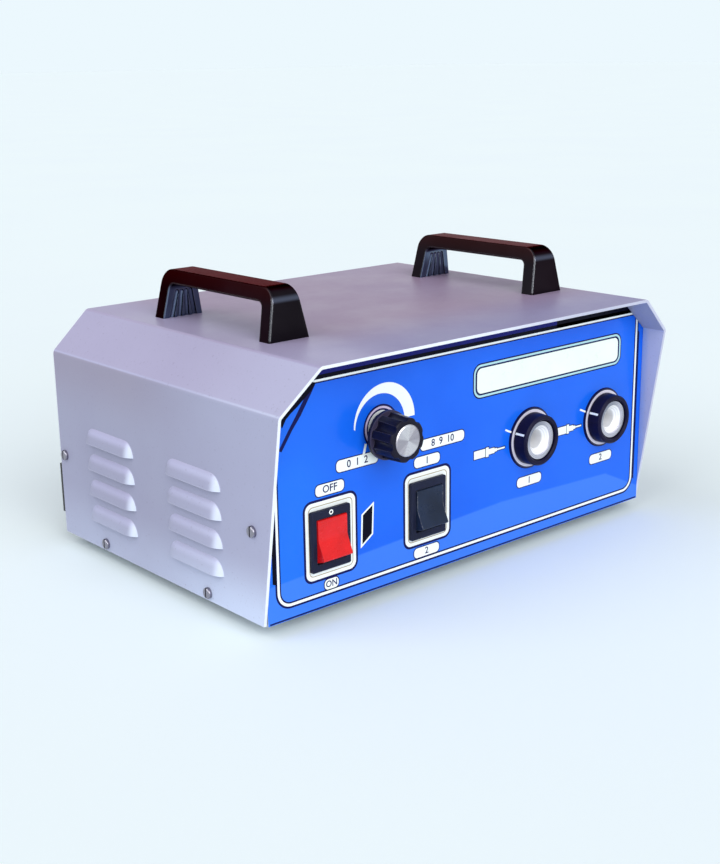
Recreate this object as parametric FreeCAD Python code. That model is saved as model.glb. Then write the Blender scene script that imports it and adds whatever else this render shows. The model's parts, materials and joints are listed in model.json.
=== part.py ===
import FreeCAD, Part
import math
import os

from FreeCAD import Vector

# Twin-port fibre optic illuminator: a bench light box with two lamps, each behind a port that takes
# the ferrule of a light guide.  Millimetres.  +X right, +Y to the back, +Z up.  The origin is on the
# bench, under the middle of the whole part, and the front faces -Y.

# ---------------------------------------------------------------- driving sizes: case
CASE_W = 280.0          # over the cover's sides
CASE_D = 183.6          # the sides' bottom edge, front corner to rear edge
CASE_H = 124.5          # cover's bottom edge to roof
SIDE_H = 104.0          # cover's bottom edge to the side bend
CHAMFER_W = 22.4        # width of the sloping shoulder between side and roof
HOOD = 19.3             # the roof's front edge stands this far ahead of the sides' bottom corners
FACE_AHEAD = 1.5        # the fascia stands this far ahead of the sides' bottom corners
SHEET = 1.6             # cover's sheet
BEND_R = 1.6            # inside radius of its bends
PANEL_T = 1.5           # front and rear panels, base tray
FASCIA_T = 0.5          # printed overlay
SEAM = 0.2              # gap between folded sheets
TRAY_WALL = 12.0        # height of the tray's side walls
RETURN_D = 14.0         # depth of the panels' folded edges
RETURN_TOP = 12.0       # how far the side returns stay below the side bend
RETURN_END = 11.2       # the bottom returns end this far inside the case's sides
PANEL_SCREW_IN = 28.0   # outer panel screws from the case's sides
COVER_SCREW_L = 6.0
TRAY_VENTS = 7          # slots in the tray's floor behind the lamps
TRAY_VENT_PITCH = 12.0
TRAY_VENT_BACK = 42.0   # their middle behind the lamp plate

FOOT_H = 7.0
FOOT_R = 9.5
FOOT_TAPER = 1.0
FOOT_IN_X = 36.0        # foot axis from the case's side
FOOT_IN_Y = 28.0        # foot axis from the front panel and from the rear panel
FOOT_WELL = 3.5         # depth of the screw's well in the foot
FOOT_WELL_PLAY = 0.5
FOOT_SCREW_OVER = 4.0   # foot screw above the tray's floor

# ---------------------------------------------------------------- driving sizes: louvres
LOUVRE_L = 46.7
LOUVRE_H = 8.0
LOUVRE_PROUD = 3.4
LOUVRE_T = 1.2          # drawn sheet is thinner than the flat
LOUVRE_PITCH = 14.3
LOUVRE_ROWS = 4
LOUVRE_LOW = 16.4       # lowest lip above the cover's bottom edge
LOUVRE_COLUMNS = (53.6, 130.2)      # middles, from the sides' front corner

# ---------------------------------------------------------------- driving sizes: screws
M3_R = 1.5
M3_HEAD_R = 2.9
M3_HEAD_H = 1.9
M4_R = 2.0
M4_HEAD_R = 3.8
M4_HEAD_H = 2.4
SCREW_PLAY = 0.2        # radial play of a screw in a through hole
TAP_PLAY = 0.04         # radial play of a screw in the hole that holds it
SLOT_W = 0.8            # screwdriver slot
SLOT_DEEP = 0.45        # its depth as a share of the head's height
HEAD_ROUND = 0.5        # the head's rounding, likewise
SIDE_SCREW_UP = 4.1     # lower side screws, above the cover's bottom edge
SIDE_SCREW_FRONT = 44.4     # their places behind the sides' front corner
SIDE_SCREW_REAR = 44.0      # and ahead of the rear edge
END_SCREW_UP = 46.0     # upper side screws
END_SCREW_FRONT = 6.1
END_SCREW_REAR = 5.4

# ---------------------------------------------------------------- driving sizes: handles
HANDLE_LEFT_IN = 48.1   # left handle's middle from the case's left side
HANDLE_RIGHT_IN = 44.2  # right handle's middle from the right side
HANDLE_MID = 85.4       # middle of both, behind the sides' front corner
HANDLE_L = 99.8
HANDLE_H = 26.0
HANDLE_FOOT_W = 25.0
HANDLE_TOP_W = 14.4
HANDLE_LEG_T = 8.6
HANDLE_BAR_T = 7.6
HANDLE_LEAN = 2.4       # the legs lean in by this much up to the top
HANDLE_OUT_R = 9.0
HANDLE_IN_R = 3.4
HANDLE_EDGE_R = 0.9
HANDLE_FLUTES = 4
HANDLE_FLUTE_R = 1.5
HANDLE_FLUTE_EDGE = 2.6 # plain edge beside the flutes
HANDLE_SCREW_DEEP = 10.0

# ---------------------------------------------------------------- driving sizes: rocker switches
POWER_IN = 39.3         # switches' middles from the case's left side
LAMP_IN = 103.9
SWITCH_Z = 35.2         # above the cover's bottom edge
BEZEL_W = 24.4
BEZEL_H = 30.4
BEZEL_T = 2.4
BEZEL_R = 1.0
BEZEL_EDGE = 0.5
MOUTH_W = 18.6          # opening in the bezel
MOUTH_H = 22.6
SWITCH_WALL = 1.5
PIVOT_DEEP = 3.0        # rocker pivot behind the bezel's face
PIVOT_R = 1.2
PIVOT_L = 1.1
ROCKER_TILT = 12.0      # each way from the middle
ROCKER_PROUD = 0.8      # the pressed half stands this far out of the bezel
ROCKER_REACH = 10.0     # half length of the rocker's face
ROCKER_SKIRT = 4.0
ROCKER_GAP = 0.3
ROCKER_HIP = 0.6        # wider than its face at the pivot
ROCKER_TOE = 0.5        # narrower at the skirt
ROCKER_EDGE_R = 0.8
ROCKER_VALLEY_R = 6.0
ROCKER_TOE_R = 0.5
ROCKER_WELL = 2.4       # room behind the skirt
PLUNGER_TIP = 9.0       # plunger's end behind the pivot
PLUNGER_R = 1.0
PLUNGER_ROOT_R = 2.0
PLUNGER_ROOT_L = 5.4
LEVER_T = 1.0
LEVER_L = 14.0
LEVER_W = 5.0
LEVER_GAP = 0.4         # plunger to lever, and lever to its contacts
LEVER_PIN_R = 0.8
LEVER_PIN_L = 1.2       # pin in each wall of the lever's well
LEVER_WELL = 1.5        # room beside the lever and beyond its ends
LEVER_BACK = 1.4        # room behind it
SWITCH_FLOOR = 3.0      # body behind the lever's well
LEVER_RATIO = -0.5      # lever's turn for each degree of the rocker
BLADE_W = 4.8
BLADE_T = 0.8
BLADE_OUT = 9.0
BLADE_PITCH = 6.0

# ---------------------------------------------------------------- driving sizes: intensity control
KNOB_IN = 72.7          # its axis from the case's left side
KNOB_Z = 80.7
KNOB_R = 11.5           # at the skirt
KNOB_FRONT_R = 10.9
KNOB_PROUD = 20.5
KNOB_LIFT = 5.0         # gap between knob and fascia
KNOB_SKIRT_R = 12.3
KNOB_SKIRT = 1.8
KNOB_FLUTES = 8
KNOB_FLUTE_AT = 8.0     # degrees from +X towards +Z to a flute
KNOB_FLUTE_R = 2.9
KNOB_FLUTE_DEEP = 1.9   # flute's depth at the skirt
KNOB_HOLLOW_R = 8.0
KNOB_HOLLOW = 1.5
KNOB_RIM_R = 1.2        # rounded front edge
CAP_R = 7.8
CAP_T = 0.8
CAP_PROUD = 0.4         # disc ahead of the knob's front
CAP_EDGE = 0.6
CAP_EDGE_T = 0.4
SHAFT_R = 3.0
SHAFT_IN_KNOB = 10.5
SHAFT_END = 0.5         # gap between the shaft's end and the bottom of its hole
FIT_PLAY = 0.05         # radial play of a running fit
PUSH_PLAY = 0.02        # radial play of a push fit
BUSH_R = 3.5
BUSH_OUT = 2.6          # threaded bush ahead of the fascia
POT_R = 12.0
POT_D = 10.5
POT_WALL = 1.2
POT_TAG_W = 2.4
POT_TAG_T = 0.8
POT_TAG_L = 7.0         # below the can
POT_TAG_PITCH = 5.0
POT_TAG_BACK = 4.0
ROTOR_T = 2.0
ROTOR_LAND = 2.2        # rotor beyond its shaft
TAB_ROOT = 2.0          # tab's root inside the rotor
POT_NUT_AF = 10.0
POT_NUT_T = 2.0
SET_SCREW_R = 1.5
SET_SCREW_L = 5.0
SET_HEX_R = 0.75
SET_HEX_DEEP = 1.5
KNOB_TRAVEL = 270.0
STOP_TAB = 40.0         # degrees taken by the rotor's stop tab
STOP_PLAY = 2.0         # degrees left at each stop

# ---------------------------------------------------------------- driving sizes: light ports
PORT_B_IN = 36.3        # right port's axis from the case's right side
PORT_PITCH = 61.4
PORT_Z = 56.4           # above the cover's bottom edge
PORT_BORE_R = 5.1
PORT_CONE_R = 7.4
PORT_STEP_R = 8.4
PORT_STEP = 1.0
PORT_CONE = 2.7
DISC_R = 10.8
DISC_PROUD = 7.3
DISC_T = 1.6
DISC_EDGE = 0.4
SOCKET_R = 9.15
SOCKET_BACK = 13.0      # socket's length behind the front panel
RING_R = 16.5
RING_T = 0.8
COLLAR_R = 14.3
COLLAR_FRONT_R = 13.8
COLLAR_PROUD = 8.7
COLLAR_EDGE = 0.7       # depth of the front bevel
COLLAR_EDGE_W = 0.8     # and its width
MOUTH_EDGE = 0.6        # bevel at the collar's mouth
COLLAR_GAP = 0.3
LOCK_ANGLE = 159.0      # where the lock pin and the index marks stand, from +X towards +Z
LOCK_TURN = 45.0
LOCK_STROKE = 1.4
PIN_R = 1.0
PIN_TIP = 5.2           # pin's inner end from the port's axis, unlocked
PIN_END = 10.6          # pin's outer end
CAM_GAP = 0.15
CAM_LEAD = 7.0          # degrees of cam before the travel
CAM_OVER = 4.2          # and beyond it
CAM_IN = 1.0            # pocket's inner edge inside the socket's wall
PEG_R = 0.9
PEG_AT = 11.9
PEG_L = 1.3
PORT_NUT_AF = 25.0
PORT_NUT_T = 5.0

# ---------------------------------------------------------------- driving sizes: lamps
LAMP_PLATE = 60.0       # the plate that carries the lamps, behind the fascia
FILTER_PLATE = 35.0     # the plate with the filter windows
BRACKET_SIDE = 30.0     # bracket beyond each port's axis
BRACKET_UP = 32.0       # and above it
REFLECTOR_R = 25.0
REFLECTOR_RIM = 1.5
REFLECTOR_D = 27.0
REFLECTOR_T = 1.8
REFLECTOR_LAND = 2.2    # rim beyond the bowl
REFLECTOR_BOW = 3.5     # how far the bowl's wall bulges
NECK_R = 8.0
NECK_L = 11.0
LAMP_PLAY = 0.5
CAPSULE_R = 4.6
CAPSULE_L = 15.0
CAPSULE_SHY = 2.0       # capsule's end inside the neck
LAMP_PIN_ROOT = 1.0     # pin's length inside the capsule
LAMP_PIN_R = 0.5
LAMP_PIN_GAP = 2.65
LAMP_PIN_L = 8.0
LAMP_SOCKET_W = 18.0
LAMP_SOCKET_H = 12.0
LAMP_SOCKET_L = 12.0
LAMP_SOCKET_R = 2.0
BRACKET_SCREW_IN = 8.0  # outer screws from the bracket's ends
RETAINER_R = 28.6
RETAINER_T = 1.2
RETAINER_LIP = 3.5      # its lip over the reflector's rim
WINDOW_R = 15.0
FILTER_SIZE = 40.0
FILTER_T = 3.0
FILTER_R = 2.0

# ---------------------------------------------------------------- driving sizes: rear panel
FAN_IN = 67.0           # fan's axis from the case's right side
FAN_Z = 62.0
FAN_SIZE = 80.0
FAN_T = 25.0
FAN_HOLE_EDGE = 4.25    # mounting holes from the frame's edges
FAN_RIM = 1.8           # frame outside the duct, at its narrowest
FAN_CORNER = 4.0
FAN_FLANGE = 4.0
FAN_TUBE_T = 1.5
FAN_TIP_GAP = 1.4       # blade tips to the duct
FAN_FRONT_GAP = 2.0     # hub behind the frame's front
FAN_HUB_WALL = 1.8
FAN_HUB_FACE = 2.0
FAN_BOSS_R = 3.75
FAN_BLADE_IN = 0.5      # blades inside the hub's ends
FAN_SHAFT_SHY = 1.5     # shaft's end inside the frame's back
FAN_SCREW_OVER = 4.0    # fan screws beyond the frame
STATOR_IN = 1.0         # stator's radius less than the hub's
STATOR_L = 6.0
FAN_HUB_R = 17.0
FAN_HUB_L = 15.0
FAN_BLADES = 7
FAN_BLADE_T = 1.6
FAN_PITCH = 38.0
FAN_SHAFT_R = 1.5
STRUT_W = 4.0
STRUT_T = 3.0
GUARD_WIRE = 1.0
GUARD_RINGS = 6
GUARD_CORE_R = 4.0      # innermost ring
GUARD_INSET = 0.7       # outermost ring inside the duct
GUARD_EYE_R = 4.4
GUARD_EYE_T = 2.2
GUARD_LAP = 1.4         # rings' axis behind the spokes' axis, where they are welded

SINK_LEFT = 10.0        # heat sink's edge from the case's left side
SINK_W = 52.0
SINK_LOW = 4.4
SINK_H = 29.0
SINK_PROUD = 21.0
SINK_BASE = 4.0
SINK_FINS = 9
FIN_T = 1.6

TRIAC_UP = 4.0          # above the sink's middle
TRIAC_W = 10.0
TRIAC_H = 16.0
TRIAC_TAB_T = 1.3
TRIAC_BODY_H = 9.0
TRIAC_T = 4.5
TRIAC_LEG_L = 10.0
TRIAC_LEG_W = 0.8
TRIAC_LEG_T = 0.5
TRIAC_LEG_BACK = 2.5    # legs ahead of the panel
TRIAC_PITCH = 2.54

INLET_IN = 96.0         # inlet's middle from the case's left side
INLET_Z = 29.0
INLET_FLANGE_W = 50.0
INLET_FLANGE_H = 24.0
INLET_FLANGE_T = 2.6
INLET_BODY_W = 27.4
INLET_BODY_H = 19.6
INLET_BODY_D = 20.0
INLET_MOUTH_W = 24.2
INLET_MOUTH_H = 16.4
INLET_MOUTH_D = 16.0
INLET_CORNER = 4.0
INLET_EDGE_R = 1.0
INLET_EAR_R = 6.0       # rounding of the flange's ears
INLET_FLANGE_R = 4.0    # and of its other corners
INLET_SCREW_PITCH = 40.0
INLET_PIN_W = 4.0
INLET_PIN_T = 2.0
INLET_PIN_PITCH = 7.0
INLET_EARTH_UP = 4.0
INLET_PIN_DROP = 2.0    # line pins below the middle
INLET_PIN_SHY = 2.5     # pins' ends inside the mouth
INLET_TAIL = 8.0        # pins behind the body
INLET_SCREW_OVER = 3.0

FUSE_BESIDE = 36.0      # fuse holder's axis beside the inlet's middle
FUSE_FLANGE_R = 8.0
FUSE_FLANGE_T = 2.0
FUSE_BODY_R = 6.4
FUSE_BODY_L = 30.0
FUSE_BORE_R = 4.6
FUSE_CAP_R = 6.4
FUSE_CAP_L = 8.0
FUSE_R = 2.6
FUSE_L = 20.0
FUSE_SEAT = 3.0         # fuse's end inside the cap's plug
FUSE_SEAT_L = 4.0
FUSE_PLUG_L = 6.0
FUSE_FLOOR = 2.0
FUSE_CAP_EDGE_R = 0.8
FUSE_SCALLOPS = 8
FUSE_SCALLOP_R = 1.5
FUSE_SCALLOP_OUT = 0.9
FUSE_SCALLOP_UP = 2.0   # they start above the flange
FUSE_SLOT_W = 1.4
FUSE_SLOT_L = 8.0
FUSE_SLOT_DEEP = 1.6
FUSE_TAG_W = 4.8
FUSE_TAG_T = 0.8
FUSE_TAG_L = 7.0

VENT_W = 3.2
VENT_L = 26.0
VENT_PITCH = 8.0
VENT_COUNT = 14
VENT_FLAT = 0.02        # flat left between a vent's round corners
VENT_IN = 36.0          # first vent from the case's side
VENT_TOP = 3.0          # vents' top below the side bend

# ---------------------------------------------------------------- driving sizes: power parts
CORE_W = 80.0
CORE_H = 67.0
CORE_STACK = 38.0
COIL_OVER = 12.0        # coil beyond the stack, front and back
COIL_CORNER_R = 9.6
CORE_PLAY = 0.3         # coil and clamp from the core
TRANSFORMER_IN = 82.0   # its middle from the case's left side
COIL_CLEAR = 3.0        # coil ahead of the inlet's pins
CLAMP_T = 1.5
CLAMP_FOOT = 12.0
CLAMP_IN = 2.0          # strap's edges inside the stack's
CLAMP_BEND_R = 1.0
CLAMP_SCREW_OUT = 7.0   # screws outside the strap
CLAMP_SCREW_SPREAD = 12.0

BOARD_IN = 45.0         # board's middle from the case's left side
BOARD_CLEAR = 4.0       # board behind the switches' blades
BOARD_W = 66.0
BOARD_D = 44.0
BOARD_T = 1.6
BOARD_UP = 6.0
BOARD_EDGE = 4.0
BOARD_R = 2.0
STANDOFF_R = 3.0
CHOKE_R = 7.5
CHOKE_T = 3.4           # radius of the wound ring's section
CHOKE_IN = 19.0         # its middle from the board's right edge
CHOKE_BACK = 16.0       # and from its front edge
FILM_W = 20.0           # film capacitor
FILM_D = 9.0
FILM_H = 14.0
FILM_IN = 7.0           # from the left edge
FILM_BACK = 11.0        # from the rear edge
CAN_R = 6.0             # electrolytic capacitor
CAN_H = 20.0
CAN_IN = 17.0
CAN_BACK = 13.0
BLOCK_W = 20.0          # terminal block
BLOCK_D = 9.0
BLOCK_H = 10.0
BLOCK_IN = 11.0
BLOCK_BACK = 5.0
TRIMMER_SIZE = 6.0
TRIMMER_W = 4.5
TRIMMER_IN = 31.0
TRIMMER_BACK = 8.0
RESISTOR_R = 1.6
RESISTOR_L = 7.0
RESISTOR_IN = 29.0
RESISTOR_BACK = 19.0

# ---------------------------------------------------------------- planes worked out from the sizes
FACE_Y = KNOB_PROUD - (KNOB_PROUD + FACE_AHEAD + CASE_D + SINK_PROUD) / 2
CORNER_Y = FACE_Y + FACE_AHEAD          # the sides' bottom front corner
REAR_Y = CORNER_Y + CASE_D              # cover's rear edge, flush with the rear panel
HOOD_Y = CORNER_Y - HOOD
PANEL_Y = FACE_Y + FASCIA_T
INSIDE_Y = PANEL_Y + PANEL_T            # back of the front panel
REAR_IN_Y = REAR_Y - PANEL_T            # front of the rear panel
BASE_Z = FOOT_H                         # cover's bottom edge and the tray's underside
FLOOR_Z = BASE_Z + PANEL_T
ROOF_Z = BASE_Z + CASE_H
HALF_W = CASE_W / 2
INNER_X = HALF_W - SHEET - SEAM         # outside of the tray's walls and the panels' returns
LEAN = HOOD / CASE_H                    # the sides' front edges lean forward by this slope
LAMP_Y = FACE_Y + LAMP_PLATE            # front face of the lamp plate
BRACKET_FOOT_Y = (FACE_Y + FILTER_PLATE + LAMP_Y) / 2

# ---------------------------------------------------------------- places across the case
HANDLE_LEFT_X = HANDLE_LEFT_IN - HALF_W
HANDLE_RIGHT_X = HALF_W - HANDLE_RIGHT_IN
POWER_X = POWER_IN - HALF_W
LAMP_X = LAMP_IN - HALF_W
KNOB_X = KNOB_IN - HALF_W
PORT_B_X = HALF_W - PORT_B_IN
PORT_A_X = PORT_B_X - PORT_PITCH
PORTS_MID_X = (PORT_A_X + PORT_B_X) / 2
FAN_X = HALF_W - FAN_IN
INLET_X = INLET_IN - HALF_W
FUSE_X = INLET_X + FUSE_BESIDE
TRANSFORMER_X = TRANSFORMER_IN - HALF_W
BOARD_X = BOARD_IN - HALF_W

# ---------------------------------------------------------------- the fan's pattern, from its size
FAN_HOLES = FAN_SIZE - 2 * FAN_HOLE_EDGE
FAN_DUCT_R = FAN_SIZE / 2 - FAN_RIM
FAN_TIP_R = FAN_DUCT_R - FAN_TIP_GAP
VENT_END_R = (VENT_W - VENT_FLAT) / 2

NODES = {}


def node(name, *solids):
    """Keep one named piece, or one named group of like pieces."""
    NODES[name] = solids[0] if len(solids) == 1 else Part.makeCompound(list(solids))
    return NODES[name]


# ---------------------------------------------------------------- shapes used throughout
def box(x0, x1, y0, y1, z0, z1):
    return Part.makeBox(x1 - x0, y1 - y0, z1 - z0, Vector(x0, y0, z0))


def rod(radius, start, end):
    return Part.makeCylinder(radius, (end - start).Length, start, end - start)


def rod_y(radius, x, z, y0, y1):
    return rod(radius, Vector(x, y0, z), Vector(x, y1, z))


def rod_z(radius, x, y, z0, z1):
    return rod(radius, Vector(x, y, z0), Vector(x, y, z1))


def tube_y(outer, inner, x, z, y0, y1):
    return rod_y(outer, x, z, y0, y1).cut(rod_y(inner, x, z, y0 - 1, y1 + 1))


def outline(points, radii=None):
    """A flat face inside straight edges, its corners rounded by the given radii."""
    radii = radii or [0] * len(points)
    starts, ends, arcs = [], [], []
    for i, (corner, radius) in enumerate(zip(points, radii)):
        back = (points[i - 1] - corner).normalize()
        ahead = (points[(i + 1) % len(points)] - corner).normalize()
        if radius == 0:
            starts.append(corner)
            ends.append(corner)
            arcs.append(None)
            continue
        half = back.getAngle(ahead) / 2
        reach = radius / math.tan(half)
        inward = (back + ahead).normalize()
        middle = corner + inward * (radius / math.sin(half) - radius)
        starts.append(corner + back * reach)
        ends.append(corner + ahead * reach)
        arcs.append(Part.Arc(starts[-1], middle, ends[-1]).toShape())
    edges = []
    for i, arc in enumerate(arcs):
        if arc:
            edges.append(arc)
        following = starts[(i + 1) % len(points)]
        if (following - ends[i]).Length > 1e-6:
            edges.append(Part.makeLine(ends[i], following))
    return Part.Face(Part.Wire(edges))


def plate_y(points, radii, y0, y1):
    """A plate across Y from (x, z) corners."""
    face = outline([Vector(x, y0, z) for x, z in points], radii)
    return face.extrude(Vector(0, y1 - y0, 0))


def bar_x(points, radii, x0, x1):
    """A bar along X from (y, z) corners."""
    face = outline([Vector(x0, y, z) for y, z in points], radii)
    return face.extrude(Vector(x1 - x0, 0, 0))


def slab_z(points, radii, z0, z1):
    """A slab from (x, y) corners."""
    face = outline([Vector(x, y, z0) for x, y in points], radii)
    return face.extrude(Vector(0, 0, z1 - z0))


def rectangle(cx, cz, width, height):
    return [(cx - width / 2, cz - height / 2), (cx + width / 2, cz - height / 2),
            (cx + width / 2, cz + height / 2), (cx - width / 2, cz + height / 2)]


def turned_y(profile, x, z):
    """A turned piece about an axis along Y, from (radius, y) corners."""
    face = outline([Vector(x + r, y, z) for r, y in profile])
    return face.revolve(Vector(x, 0, z), Vector(0, 1, 0), 360)


def hexagon_y(across, x, z, y0, y1):
    corner = across / math.sqrt(3)
    points = [(x + corner * math.cos(math.radians(a)), z + corner * math.sin(math.radians(a)))
              for a in range(0, 360, 60)]
    return plate_y(points, None, y0, y1)


def screw(head_at, direction, radius, head_r, head_h, length):
    """A slotted pan-head screw: head_at is under the head, direction points along the shank."""
    out = head_at - direction * head_h
    head = Part.makeCylinder(head_r, head_h, head_at, direction * -1)
    rim = max(head.Edges, key=lambda e: (e.CenterOfMass - head_at).dot(direction * -1))
    head = head.makeFillet(head_h * HEAD_ROUND, [rim])
    side = direction.cross(Vector(0, 0, 1))
    if side.Length < 0.5:
        side = Vector(1, 0, 0)
    side.normalize()
    across = direction.cross(side)
    slot = outline([out + side * a + across * b for a, b in
                    ((-SLOT_W / 2, -head_r), (SLOT_W / 2, -head_r),
                     (SLOT_W / 2, head_r), (-SLOT_W / 2, head_r))])
    slot = slot.extrude(direction * (head_h * SLOT_DEEP))
    return head.fuse(Part.makeCylinder(radius, length, head_at, direction)).cut(slot)


def m3(head_at, direction, length):
    return screw(head_at, direction, M3_R, M3_HEAD_R, M3_HEAD_H, length)


def m4(head_at, direction, length):
    return screw(head_at, direction, M4_R, M4_HEAD_R, M4_HEAD_H, length)


DOWN = Vector(0, 0, -1)
UP = Vector(0, 0, 1)
FORWARD = Vector(0, -1, 0)
BACK = Vector(0, 1, 0)
RIGHT = Vector(1, 0, 0)
LEFT = Vector(-1, 0, 0)


# ---------------------------------------------------------------- case outline
def case_points(inset):
    """The case seen from the front, from lower left round to lower right, inside by inset."""
    rise = CASE_H - SIDE_H
    slope = math.hypot(CHAMFER_W, rise)
    nx, nz = rise / slope, CHAMFER_W / slope        # inward normal of the left shoulder is (nx, -nz)
    bend_z = BASE_Z + SIDE_H - inset * (1 - nx) / nz
    roof_x = HALF_W - (inset + nz * (rise - inset)) / nx
    side_x = HALF_W - inset
    top_z = ROOF_Z - inset
    return [(-side_x, BASE_Z), (-side_x, bend_z), (-roof_x, top_z),
            (roof_x, top_z), (side_x, bend_z), (side_x, BASE_Z)]


def hood_front(z):
    """Y of the cover's front edge at height z."""
    return CORNER_Y - LEAN * (z - BASE_Z)


# ---------------------------------------------------------------- places of screws and mounts
def side_screw_places():
    """(y, z) of the four screws in each side of the cover."""
    return [(CORNER_Y + SIDE_SCREW_FRONT, BASE_Z + SIDE_SCREW_UP),
            (REAR_Y - SIDE_SCREW_REAR, BASE_Z + SIDE_SCREW_UP),
            (CORNER_Y + END_SCREW_FRONT, BASE_Z + END_SCREW_UP),
            (REAR_Y - END_SCREW_REAR, BASE_Z + END_SCREW_UP)]


def foot_places():
    return [(sx * (HALF_W - FOOT_IN_X), y) for sx in (-1, 1)
            for y in (INSIDE_Y + FOOT_IN_Y, REAR_IN_Y - FOOT_IN_Y)]


def panel_screw_places():
    """Screws that hold the panels' bottom returns to the tray's floor."""
    places = []
    for y in (INSIDE_Y + RETURN_D / 2, REAR_IN_Y - RETURN_D / 2):
        places += [(i * (HALF_W - PANEL_SCREW_IN), y) for i in (-1, 0, 1)]
    return places


def handle_leg_places(x):
    reach = (HANDLE_L - HANDLE_LEG_T) / 2
    return [(x, CORNER_Y + HANDLE_MID - reach), (x, CORNER_Y + HANDLE_MID + reach)]


HANDLES = (("handle_left", HANDLE_LEFT_X), ("handle_right", HANDLE_RIGHT_X))
SWITCHES = (("power", POWER_X), ("lamp", LAMP_X))
PORTS = (("a", PORT_A_X), ("b", PORT_B_X))
SWITCH_MID_Z = BASE_Z + SWITCH_Z
KNOB_MID_Z = BASE_Z + KNOB_Z
PORT_MID_Z = BASE_Z + PORT_Z
FAN_MID_Z = BASE_Z + FAN_Z
INLET_MID_Z = BASE_Z + INLET_Z


# ---------------------------------------------------------------- case: cover, tray, panels
def louvre(side, y, z, radius):
    """A long round-ended bulge whose lower half is left out; side is -1 on the left."""
    round_r = (LOUVRE_H ** 2 + LOUVRE_PROUD ** 2) / (2 * LOUVRE_PROUD)
    grown = radius + round_r
    x = side * (HALF_W + LOUVRE_PROUD - round_r)
    half = LOUVRE_L / 2 - LOUVRE_H
    front, back = Vector(x, y - half, z), Vector(x, y + half, z)
    bulge = rod(grown, front, back).fuse([Part.makeSphere(grown, front), Part.makeSphere(grown, back)])
    outer = side * (HALF_W + LOUVRE_PROUD + 1)
    inner = side * (HALF_W - SHEET)
    keep = box(min(inner, outer), max(inner, outer), y - LOUVRE_L, y + LOUVRE_L, z, z + 2 * LOUVRE_H)
    return bulge.common(keep)


def make_cover():
    bend = BEND_R + SHEET
    outer = plate_y(case_points(0), [0, bend, bend, bend, bend, 0], HOOD_Y, REAR_Y)
    hollow = [(x, z - 1 if z == BASE_Z else z) for x, z in case_points(SHEET)]
    inner = plate_y(hollow, [0, BEND_R, BEND_R, BEND_R, BEND_R, 0], HOOD_Y - 1, REAR_Y + 1)
    low, high = BASE_Z - 1, ROOF_Z + 1
    ahead = bar_x([(HOOD_Y - 1, low), (hood_front(low), low), (hood_front(high), high),
                   (HOOD_Y - 1, high)], None, -HALF_W - 1, HALF_W + 1)
    shell = outer.cut([inner, ahead])
    hoods, slots = [], []
    for side in (-1, 1):
        for column in LOUVRE_COLUMNS:
            for row in range(LOUVRE_ROWS):
                y, z = CORNER_Y + column, BASE_Z + LOUVRE_LOW + row * LOUVRE_PITCH
                slot = louvre(side, y, z, -LOUVRE_T)
                slots.append(slot)
                hoods.append(louvre(side, y, z, 0).cut(slot))
    holes = []
    for y, z in side_screw_places():
        holes.append(rod(M3_R + SCREW_PLAY, Vector(-HALF_W - 1, y, z), Vector(HALF_W + 1, y, z)))
    for name, x in HANDLES:
        for hx, hy in handle_leg_places(x):
            holes.append(rod_z(M4_R + SCREW_PLAY, hx, hy, ROOF_Z - SHEET - 1, ROOF_Z + 1))
    return node("cover", shell.cut(slots).fuse(hoods).cut(holes).removeSplitter())


def make_tray():
    y0, y1 = INSIDE_Y + SEAM, REAR_IN_Y - SEAM
    outside = [(-INNER_X, BASE_Z), (INNER_X, BASE_Z), (INNER_X, BASE_Z + TRAY_WALL),
               (-INNER_X, BASE_Z + TRAY_WALL)]
    wall = INNER_X - PANEL_T
    inside = [(-wall, FLOOR_Z), (wall, FLOOR_Z), (wall, ROOF_Z), (-wall, ROOF_Z)]
    bend = BEND_R + PANEL_T
    tray = plate_y(outside, [bend, bend, 0, 0], y0, y1)
    tray = tray.cut(plate_y(inside, [BEND_R, BEND_R, 0, 0], y0 - 1, y1 + 1))
    holes = []
    for y, z in side_screw_places()[:2]:
        holes.append(rod(M3_R + TAP_PLAY, Vector(-HALF_W, y, z), Vector(HALF_W, y, z)))
    for x, y in panel_screw_places() + floor_screw_places():
        holes.append(rod_z(M3_R + TAP_PLAY, x, y, BASE_Z - 1, FLOOR_Z + 1))
    for x, y in foot_places():
        holes.append(rod_z(M4_R + TAP_PLAY, x, y, BASE_Z - 1, FLOOR_Z + 1))
    for i in range(TRAY_VENTS):
        x = PORTS_MID_X + (i - (TRAY_VENTS - 1) / 2) * TRAY_VENT_PITCH
        holes.append(slab_z(rectangle(x, LAMP_Y + TRAY_VENT_BACK, VENT_W, VENT_L),
                            [VENT_END_R] * 4, BASE_Z - 1, FLOOR_Z + 1))
    return node("base_tray", tray.cut(holes))


def panel(y0, y1, inward, side_holes):
    """A flat panel that fills the case, with returns folded inward along its sides and bottom."""
    plate = plate_y(case_points(SHEET + SEAM), None, y0, y1)
    back = y1 if inward > 0 else y0
    far = back + inward * RETURN_D
    low, high = BASE_Z + TRAY_WALL + SEAM, BASE_Z + SIDE_H - RETURN_TOP
    ya, yb = min(back, far), max(back, far)
    pieces = []
    for side in (-1, 1):
        xs = sorted((side * INNER_X, side * (INNER_X - PANEL_T)))
        pieces.append(box(xs[0], xs[1], ya, yb, low, high))
    foot = HALF_W - RETURN_END
    pieces.append(box(-foot, foot, ya, yb, FLOOR_Z + SEAM, FLOOR_Z + SEAM + PANEL_T))
    holes = [rod(M3_R + TAP_PLAY, Vector(-HALF_W, y, z), Vector(HALF_W, y, z)) for y, z in side_holes]
    for x, y in panel_screw_places():
        if ya < y < yb:
            holes.append(rod_z(M3_R + SCREW_PLAY, x, y, FLOOR_Z, FLOOR_Z + 2 * PANEL_T + 1))
    return plate.fuse(pieces).cut(holes)


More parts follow.
